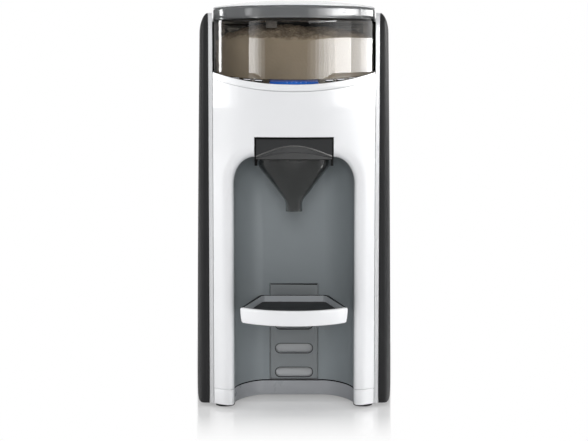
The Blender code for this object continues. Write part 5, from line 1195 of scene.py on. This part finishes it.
inner_x = cover_high.x - leg_width
across = [-cover_high.x, 0.0012 - cover_high.x, -inner_x - 0.00005] + spread(-inner_x, inner_x, 45)
across += [inner_x + 0.00005, cover_high.x - 0.0012, cover_high.x]
rows = []
for x in across:
    face = front_y(x) + 0.0001
    low = cover_low.z if abs(x) > inner_x + 0.00001 else cover_edge_z
    upper, lower = arch_height(x, upper_arch), arch_height(x, lower_arch)
    column = [(x, cover_high.y, low), (x, face + 0.0009, low), (x, face + 0.0006, low + 0.0004)]
    column += [(x, face + 0.0004, z) for z in spread(max(low + 0.0006, cover_edge_z + 0.0004), lower - 0.0002, 4)]
    column += [(x, face + 0.0012, lower), (x, face + 0.0010, upper - 0.0005), (x, face, upper - 0.0002),
               (x, face, upper + 0.0003)]
    column += [(x, face + 0.0003, upper + 0.0006)]
    column += [(x, face + 0.0003, z) for z in spread(upper + 0.0008, cover_high.z - 0.0014, 5)]
    column += [(x, face, cover_high.z - 0.0012), (x, face, cover_high.z - 0.0002), (x, face + 0.0004, cover_high.z),
               (x, cover_high.y, cover_high.z)]
    rows.append(column)
cover = skinned("funnel_cover_plate", rows, around=True, ends=True)
smooth(cover, 20)
cover_smoke = plastic("cover_smoke", (0.036, 0.037, 0.038), 0.16, wear=0.2, bump=0.02)
dress(cover, "funnel", cover_smoke, "dark_plastic", "funnel_cover")


def on_cover_edge(place, normal):
    return (place.z > cover_high.z - 0.0013 or abs(place.x) > cover_high.x - 0.0013
            or place.z < cover_edge_z + 0.0003)


def on_arch_line(place, normal):
    over = place.z - arch_height(place.x, upper_arch)
    return -0.0004 < over < 0.0005 and not on_cover_edge(place, normal)


def below_arch(place, normal):
    taken = on_cover_edge(place, normal) or on_arch_line(place, normal)
    return place.z < arch_height(place.x, lower_arch) and not taken


# The cover's edges get a painted shadow line, the arch's ridge a painted highlight, and the band below the lower arch
# painted light.
for finish, test in ((painted_shadow_black, on_cover_edge), (arch_painted_highlight, on_arch_line), (cover_painted_light, below_arch)):
    print(finish.name, "on", paint(cover, finish, test), "faces")

# %% [markdown]
# The powder container is a clear tub, turned on a lathe: one closed profile with rounded corners, spun in many
# steps because its smooth outline shows against the white.

# %% Powder container
wall = 0.0022
ledge_radius, ledge_z = container_radius - 0.0055, container_low.z + 0.0022
inner_radius = container_radius - wall
profile = [(container_radius - 0.0005, container_high.z), (container_radius - 0.0001, container_high.z - 0.0003),
           (container_radius, container_high.z - 0.001)]
profile += [(container_radius, z) for z in spread(container_high.z - 0.004, container_low.z + 0.004, 5)]
profile += [(container_radius, container_low.z + 0.0015), (container_radius - 0.0004, container_low.z + 0.0004),
            (container_radius - 0.0015, container_low.z), (ledge_radius, container_low.z), (ledge_radius, ledge_z),
            (inner_radius - 0.0006, ledge_z), (inner_radius, ledge_z + 0.0006)]
profile += [(inner_radius, z) for z in spread(ledge_z + 0.004, container_high.z - 0.004, 5)]
profile += [(inner_radius, container_high.z - 0.0006), (inner_radius + 0.0004, container_high.z)]
tub = spun("clear_tub", profile, 128)
smooth(tub, 40)
dress(tub, "container", container_clear, "clear_plastic", "powder_container")
tub.visible_shadow = False

# %% [markdown]
# The powder fills the tub and heaps towards the middle, with a hollow round the stirrer's shaft and post so
# that they can turn. A turned heap is subdivided and its top roughened with noise from a formula, so that it is
# the same on every run.

# %% Powder heap
wheel_low, wheel_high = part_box("dosing_wheel")
heap_radius, skin = inner_radius - 0.0004, 0.0013
heap_floor, heap_under = wheel_low.z + 0.0002, wheel_high.z + 0.0075
crater_radius, rim_radius = 0.0215, 0.030
wall_z, crest_z, crater_z = 0.2972, 0.3075, 0.279
profile = [(heap_radius, heap_floor)]
profile += [(heap_radius, z) for z in spread(heap_under, wall_z, 12)]
for share in spread(0, 1, 24)[1:]:
    r = heap_radius + (rim_radius - heap_radius) * share
    profile.append((r, wall_z + (crest_z - wall_z) * sin(pi / 2 * share) ** 0.9))
for share in spread(0, 1, 10)[1:]:
    profile.append((rim_radius + (crater_radius - rim_radius) * share**0.7, crest_z - (crest_z - crater_z) * share))
profile += [(crater_radius, heap_under), (heap_radius - skin, heap_under), (heap_radius - skin, heap_floor)]
heap = spun("formula_powder", profile, 160)
for point in heap.data.vertices:
    r = sqrt(point.co.x**2 + point.co.y**2)
    if point.co.z > wall_z - 0.0005 and r > crater_radius + 0.002:
        big = noise.noise(point.co * 55) * 0.0022
        small = noise.noise(point.co * 210) * 0.0012 + noise.noise(point.co * 480) * 0.0007
        edge = min((heap_radius - r) / 0.004 + 0.25, 1)
        slow = 0.0034 * noise.noise(Vector((point.co.x * 26, point.co.y * 26, 3.7)))
        ragged = 0.0016 * noise.noise(Vector((point.co.x * 110, point.co.y * 110, 1.3)))
        point.co.z += (big + small) * edge + slow + ragged
smooth(heap, 60)
dress(heap, "container", powder_finish, None)
# The upward faces on top take the loose powder with its painted crumb shade.
paint(heap, loose_powder_painted_shade, lambda place, normal: normal.z > 0.15 and place.z > wall_z - 0.008)

# %% [markdown]
# The lid has three parts: a shallow white dome, a smoked band below it, and a seal. All are turned. The band
# has rounded edges, because they draw the fine bright line along its foot.

# %% Lid, band and seal
lid_low, lid_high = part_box("lid")
band_low, band_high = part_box("lid_band")
seal_low, seal_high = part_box("lid_seal")
lid_radius, band_inner = band_high.x, band_high.x - 0.0025
skirt = band_inner - fit
groove = skirt - 0.001
throat = groove - 0.0025
edge_z = band_high.z + fit
dome_rise = lid_high.z - edge_z
outside = [(0, lid_high.z)]
for share in spread(0, 1, 17)[1:]:
    r = (lid_radius - 0.0010) * share
    outside.append((r, lid_high.z - (dome_rise - 0.0014) * share**2.4))
outside += [(lid_radius - 0.0003, edge_z + 0.0011), (lid_radius, edge_z + 0.0006),
            (lid_radius - 0.0002, edge_z + 0.0002), (lid_radius - 0.0006, edge_z), (skirt, edge_z)]
outside += [(skirt, seal_high.z + fit), (groove, seal_high.z + fit), (groove, seal_low.z - fit),
            (skirt, seal_low.z - fit), (skirt - 0.0004, lid_low.z), (throat + 0.0004, lid_low.z),
            (throat, lid_low.z + 0.0004)]
inside = [(throat, edge_z - 0.0012), (throat - 0.0012, edge_z + 0.0001)]
for share in spread(1, 0, 9)[1:]:
    r = (throat - 0.0012) * share
    inside.append((r, edge_z + 0.0001 + (dome_rise - 0.0027) * (1 - share**2.4)))
lid = spun("lid_dome", outside + inside, 128, False)
smooth(lid, 35)
dress(lid, "lid", lid_white, "white_plastic", "lid")
# The skirt and underside inside the tub are painted near-black, as painted shade for the dark space between the powder
# and the lid.
paint(lid, lid_skirt_painted_shade, lambda place, normal: place.xy.length < skirt + 0.0001 and place.z < edge_z + 0.0002)
profile = [(lid_radius - 0.0007, band_low.z), (lid_radius - 0.0002, band_low.z + 0.0003),
           (lid_radius, band_low.z + 0.0009)]
profile += [(lid_radius, z) for z in spread(band_low.z + 0.002, band_high.z - 0.002, 4)]
profile += [(lid_radius, band_high.z - 0.0008), (lid_radius - 0.0004, band_high.z - 0.0002),
            (lid_radius - 0.0008, band_high.z), (band_inner, band_high.z), (band_inner, band_low.z)]
band = spun("lid_smoke_band", profile, 128)
smooth(band, 40)
dress(band, "lid", band_smoke, "smoked_plastic", "lid_band")
half_seal, mid_seal = (seal_high.z - seal_low.z) / 2, (seal_high.z + seal_low.z) / 2
profile = [(seal_high.x, mid_seal - half_seal * 0.6), (seal_high.x - 0.0003, mid_seal),
           (seal_high.x, mid_seal + half_seal * 0.6), (seal_high.x - 0.0004, seal_high.z),
           (groove + fit, seal_high.z), (groove + fit, seal_low.z), (seal_high.x - 0.0004, seal_low.z)]
seal = spun("lid_seal_ring", profile, 96)
smooth(seal, 30)
dress(seal, "lid_seat", rubber, "rubber", "lid_seal")

# %% [markdown]
# Small printed marks on the band show where the lid locks: a short upright line and a little open catch. They
# are thin bent strips, laid on the cylinder by a formula. A rib hangs inside the lid and shows through the clear
# wall above the powder. It starts as a cube, with its edges rounded.

# %% Lock marks and inner rib
def on_band(angle, z, proud):
    radius = lid_radius + proud
    return Vector((radius * sin(angle), -radius * cos(angle), z))


def strip(name, angle_from, angle_to, low_z, high_z, proud, depth):
    rows = []
    for angle in spread(angle_from, angle_to, 5):
        rows.append([on_band(angle, low_z, proud), on_band(angle, high_z, proud), on_band(angle, high_z, proud - depth),
                     on_band(angle, low_z, proud - depth)])
    return skinned(name, rows, around=True, ends=True)


def lock_angle(x):
    return asin(x / lid_radius)


middle_z = (band_low.z + band_high.z) / 2 + 0.0006
ink_proud, ink_depth, ink_width = 0.00005, 0.0002, 0.0004
tick_x, tick_half_height = 0.0532, 0.0024
catch_x, catch_end_x, catch_half_height = 0.0402, 0.0452, 0.0012
marks = []
for name, x, half_height in (("lock_tick", tick_x, tick_half_height), ("lock_back", catch_x, catch_half_height)):
    marks.append(strip(name, lock_angle(x), lock_angle(x + ink_width), middle_z - half_height,
                       middle_z + half_height, ink_proud, ink_depth))
for name, z in (("upper", middle_z + catch_half_height), ("lower", middle_z - catch_half_height)):
    marks.append(strip(f"lock_{name}", lock_angle(catch_x), lock_angle(catch_end_x), z - ink_width / 2,
                       z + ink_width / 2, ink_proud, ink_depth))
mark_print = plastic("mark_print", (0.10, 0.10, 0.105), 0.5)
dress(joined(marks, "lid_lock_mark"), "lid", mark_print, None)

rib_centre, rib_size = (-0.0182, -0.0520, 0.3122), (0.0092, 0.0024, 0.0132)
rib = block("lid_inner_rib", rib_centre, rib_size)
soften(rib, 0.0008, 3)
dress(rib, "lid", inner_grey, None)

# %% [markdown]
# The remaining pieces are simple plates, pins and housings, and most of them stay hidden inside. Each is a copy
# of its CAD piece, because its solid already has the right form: the loose triangles are merged, flat faces
# joined, edges bevelled, and the rest shaded smooth.

# %% Dressed copies of the plain pieces
body_of_node = {}
for body, names in frame["record"]["behaviour"]["bodies"].items():
    for name in names:
        body_of_node[name] = body


def dressed(name, finish, slot, bevel=0.0003):
    """A copy of a CAD node with clean faces and soft edges."""
    source = frame["nodes"][name]
    made = bpy.data.objects.new(f"{name}_skin", source.data.copy())
    made.data.name = f"{name}_skin"
    bpy.context.scene.collection.objects.link(made)
    edit(made)
    bpy.ops.mesh.select_all(action="SELECT")
    bpy.ops.mesh.remove_doubles(threshold=0.000004)
    bpy.ops.mesh.dissolve_limited(angle_limit=radians(1))
    leave()
    if bevel:
        soften(made, bevel, 2, 40)
    else:
        smooth(made, 24)
    made.visible_shadow = name != "water_tank"
    return dress(made, body_of_node[name], finish, slot, name)


for name, finish, slot, bevel in (
        ("container_deck", white_gloss, "white_plastic", 0),
        ("display_board", board_finish, "circuit_board", 0),
        ("container_floor", inner_grey, "grey_plastic", 0),
        ("dosing_wheel", dark_satin, "dark_plastic", 0),
        ("stirrer", inner_grey, "grey_plastic", 0),
        ("chassis_wall", white_gloss, "white_plastic", 0.0004),
        ("rear_cover", white_gloss, "white_plastic", 0),
        ("powder_chute", white_gloss, "white_plastic", 0.0002),
        ("water_nozzle", bay_grey, "grey_plastic", 0),
        ("drive_coupling", steel, "steel", 0),
        ("drive_gear", nylon, "nylon", 0.0001),
        ("drive_bush", brass, "brass", 0.0001),
        ("motor_pinion", brass, "brass", 0),
        ("dosing_motor", steel, "steel", 0.0003),
        ("motor_plate", steel, "steel", 0.0002),
        ("water_heater", steel, "steel", 0),
        ("water_pump", dark_satin, "dark_plastic", 0),
        ("main_board", board_finish, "circuit_board", 0),
        ("tank_hose", hose_clear, "hose", 0),
        ("pump_hose", hose_clear, "hose", 0),
        ("nozzle_hose", hose_clear, "hose", 0),
        ("water_tank", tank_clear, "clear_plastic", 0),
        ("tank_lid", white_gloss, "white_plastic", 0.0004),
        ("tank_lid_pin", steel, "steel", 0.0002),
        ("tank_valve", inner_grey, "grey_plastic", 0.0002),
        ("port_seal", rubber, "rubber", 0.0002),
        ("cord_gland", rubber, "rubber", 0.0003),
        ("cover_screw_left", steel, "steel", 0.0001),
        ("cover_screw_right", steel, "steel", 0.0001)):
    dressed(name, finish, slot, bevel)
print("CAD nodes still shown:", [n for n, o in frame["nodes"].items() if not o.hide_render])

# %% [markdown]
# One piece is the coil spring over the tank's valve, whose top end stays against the bridge inside the tank. It
# is dressed like the rest and given a mesh of its own.

# %% The valve's spring
spring = dressed("valve_spring", steel, "steel", 0)
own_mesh(spring)

# %% [markdown]
# The floor is a glossy white sheet. In front of the machine it mirrors the foot of the casing, and the mirror
# fades towards the viewer, as in the photograph. Beside, behind and far from the machine it turns to plain white
# light for the camera, so that no horizon shows.

# %% Floor
bpy.ops.object.select_all(action="DESELECT")
bpy.ops.mesh.primitive_circle_add(vertices=96, radius=4.0, fill_type="NGON", location=(0, 0, 0))
floor = bpy.context.object
floor.name = floor.data.name = "studio_floor"
floor_finish, tree, shader, place = shader_tree("floor_white")
gloss_fade, foot_fade, front_fade = (-0.195, -0.080), (-0.046, -0.062), (-0.105, -0.200)
side_fade, far_fade, back_fade = (0.0650, 0.0670), (0.20, 0.45), (0.15, 0.24)
parts = node(tree, "ShaderNodeSeparateXYZ", {"Vector": place})
near = ramp(tree, parts.outputs["Y"], *gloss_fade, 0.0, 1.0)
feed(tree, shader, {"Base Color": (0.93, 0.93, 0.93, 1), "Roughness": ramp(tree, near, 0.0, 1.0, 0.30, 0.06),
                    "Specular IOR Level": ramp(tree, near, 0.0, 1.0, 0.0, 0.5), "IOR": 2.6})
away = node(tree, "ShaderNodeVectorMath", {0: place}, operation="LENGTH").outputs["Value"]
plain_white = node(tree, "ShaderNodeEmission", {"Color": (1, 1, 1, 1), "Strength": 1.0})
only_camera = node(tree, "ShaderNodeLightPath").outputs["Is Camera Ray"]
spread_out = maths(tree, "DIVIDE", maths(tree, "ABSOLUTE", parts.outputs["X"]),
                   maths(tree, "ADD", parts.outputs["Y"], -camera.location.y))
beside = ramp(tree, spread_out, *side_fade, 0.0, 1.0)
under = ramp(tree, parts.outputs["Y"], *foot_fade, 0.0, 0.35)
before = maths(tree, "MAXIMUM", under, ramp(tree, parts.outputs["Y"], *front_fade, 0.3, 0.97))
behind = maths(tree, "MAXIMUM", ramp(tree, away, *far_fade, 0.0, 1.0),
               ramp(tree, parts.outputs["Y"], *back_fade, 0.0, 1.0))
mask = maths(tree, "MULTIPLY", maths(tree, "MAXIMUM", maths(tree, "MAXIMUM", beside, before), behind), only_camera)
blend = node(tree, "ShaderNodeMixShader", {"Fac": mask, 1: shader.outputs["BSDF"], 2: plain_white.outputs[0]})
output = next(n for n in tree.nodes if n.type == "OUTPUT_MATERIAL")
feed(tree, output, {"Surface": blend.outputs[0]})
floor.data.materials.append(floor_finish)
print("floor", floor.dimensions[:])

# %% [markdown]
# The world is an even pale sky that fills the shadows, dim for reflections, and pure white where the camera
# looks past the object. Soft lamps stand in front, at both sides and above. Only the upper one shows in
# reflections, because the streaks on clear plastic are made by cards instead.

# %% World and lamps
world = bpy.data.worlds.new("studio")
bpy.context.scene.world = world
world.use_nodes = True
tree = world.node_tree
tree.nodes.clear()
rays = node(tree, "ShaderNodeLightPath").outputs
fill = node(tree, "ShaderNodeBackground", {"Color": (0.97, 0.985, 1.0, 1), "Strength": 0.23})
dim = node(tree, "ShaderNodeBackground", {"Color": (1, 1, 1, 1), "Strength": 0.07})
white = node(tree, "ShaderNodeBackground", {"Color": (1, 1, 1, 1), "Strength": 1.0})
indirect = node(tree, "ShaderNodeMixShader", {"Fac": rays["Is Glossy Ray"], 1: fill.outputs[0], 2: dim.outputs[0]})
sky = node(tree, "ShaderNodeMixShader", {"Fac": rays["Is Camera Ray"], 1: indirect.outputs[0], 2: white.outputs[0]})
node(tree, "ShaderNodeOutputWorld", {"Surface": sky.outputs[0]})


def lamp(name, place, aim, width, height, power):
    data = bpy.data.lights.new(name, "AREA")
    data.shape = "RECTANGLE"
    data.size, data.size_y, data.energy = width, height, power
    made = bpy.data.objects.new(name, data)
    made.location = place
    made.rotation_euler = (Vector(aim) - Vector(place)).to_track_quat("-Z", "Y").to_euler()
    made.visible_glossy = made.visible_transmission = name == "top_soft"
    bpy.context.scene.collection.objects.link(made)
    return made


lamp("front_soft", (0, -2.3, 0.75), (0, 0, 0.15), 0.9, 1.0, 20)
lamp("left_soft", (-1.6, 0.30, 0.55), (0, 0, 0.16), 0.8, 1.0, 15)
lamp("right_soft", (1.6, 0.30, 0.55), (0, 0, 0.16), 0.8, 1.0, 15)
lamp("top_soft", (0, -0.3, 1.9), (0, 0, 0.2), 1.2, 1.2, 9)

# %% [markdown]
# A clear tub looks like nothing without something to mirror. Narrow bright cards, which only reflections see,
# stand in the gaps beside the tub and round the machine, at the angles where the photograph shows streaks on
# the container and its lid. One more stands behind the machine, so that the glossy floor mirrors white there.

# %% Cards that only reflections see
def reflector(name, rows, strength, full_z=None):
    """A glowing sheet that only reflections see. With full_z, it fades in from its lower edge up to there."""
    made = skinned(name, rows)
    finish = bpy.data.materials.new(name)
    finish.use_nodes = True
    tree = finish.node_tree
    tree.nodes.clear()
    light = node(tree, "ShaderNodeEmission", {"Color": (1, 1, 1, 1), "Strength": strength})
    if full_z:
        height = node(tree, "ShaderNodeSeparateXYZ", {"Vector": node(tree, "ShaderNodeTexCoord").outputs["Object"]})
        feed(tree, light, {"Strength": ramp(tree, height.outputs["Z"], rows[0][0][2], full_z, 0.0, strength)})
    node(tree, "ShaderNodeOutputMaterial", {"Surface": light.outputs[0]})
    made.data.materials.append(finish)
    made.visible_camera = made.visible_diffuse = made.visible_shadow = made.visible_transmission = False
    return made


card_distance = 1.5


def round_card(name, azimuth_from, azimuth_to, low_z, high_z, strength, full_z=None):
    """A card curved round the machine. Azimuth 0 is in front, and grows to the right."""
    rows = []
    for azimuth in spread(azimuth_from, azimuth_to, 9):
        a = radians(azimuth)
        rows.append([(card_distance * sin(a), -card_distance * cos(a), z) for z in (low_z, high_z)])
    return reflector(name, rows, strength, full_z)


gap_low_z, powder_line_z, gap_high_z = 0.2420, 0.2985, 0.3142
gap_front_y, gap_inset = -0.0828, 0.0005


def gap_cards(name, sign, steps, upper_share):
    """Cards in the gap between the tub and a side frame. Each runs on from the one before, and is dimmer above
    the powder."""
    from_y = steps[0]
    for number, (to_y, strength) in enumerate(steps[1:]):
        for part, low_z, high_z, share in (("low", gap_low_z, powder_line_z, 1.0),
                                           ("high", powder_line_z, gap_high_z, upper_share)):
            rows = [[(sign * (frame_x(max(y, gap_front_y)) - gap_inset), y, z) for z in (low_z, high_z)]
                    for y in (from_y, to_y)]
            reflector(f"{name}_{number}_{part}", rows, strength * share)
        from_y = to_y


gap_cards("gap_left", -1, [-0.1120, (-0.1000, 1.5), (-0.0920, 3.5), (-0.0840, 6.5), (-0.0715, 9.5), (-0.0290, 0)], 0.2)
gap_cards("gap_left_line", -1, [-0.0290, (-0.0245, 8), (-0.0120, 0.25), (0.0600, 0)], 1.0)
gap_cards("gap_right", 1, [-0.2300, (-0.1900, 0.8), (-0.1500, 1.8), (-0.1300, 4), (-0.1100, 6.5), (-0.0950, 9),
                           (-0.0800, 12), (-0.0520, 16), (-0.0380, 6.5), (-0.0275, 8), (-0.0180, 10),
                           (0.0600, 0)], 0.13)
for name, from_azimuth, to_azimuth, strength in (
        ("band_right_a", 20, 33, 2.4), ("band_right_b", 33, 44, 6.0), ("band_right_c", 44, 54, 12.0),
        ("band_right_d", 54, 66, 21.0), ("band_right_e", 66, 90, 28), ("band_right_f", 90, 100, 15),
        ("band_right_g", 100, 147, 8), ("band_left_line", -127, -119, 13), ("band_left_a", -71, -60, 4.4),
        ("band_left_b", -60, -46, 1.5)):
    round_card(name, from_azimuth, to_azimuth, 0.25, 0.50, strength, full_z=0.365)
round_card("front_left", -100, -58, 0.002, 0.15, 2.5)
round_card("front_right", 58, 100, 0.002, 0.15, 2.5)
reflector("floor_back", [[(x, 1.0, z) for z in (-0.4, 1.2)] for x in (-0.35, 0.35)], 1.0)
print("cards ready")

# %% View settings
bpy.context.scene.view_settings.view_transform = "Standard"
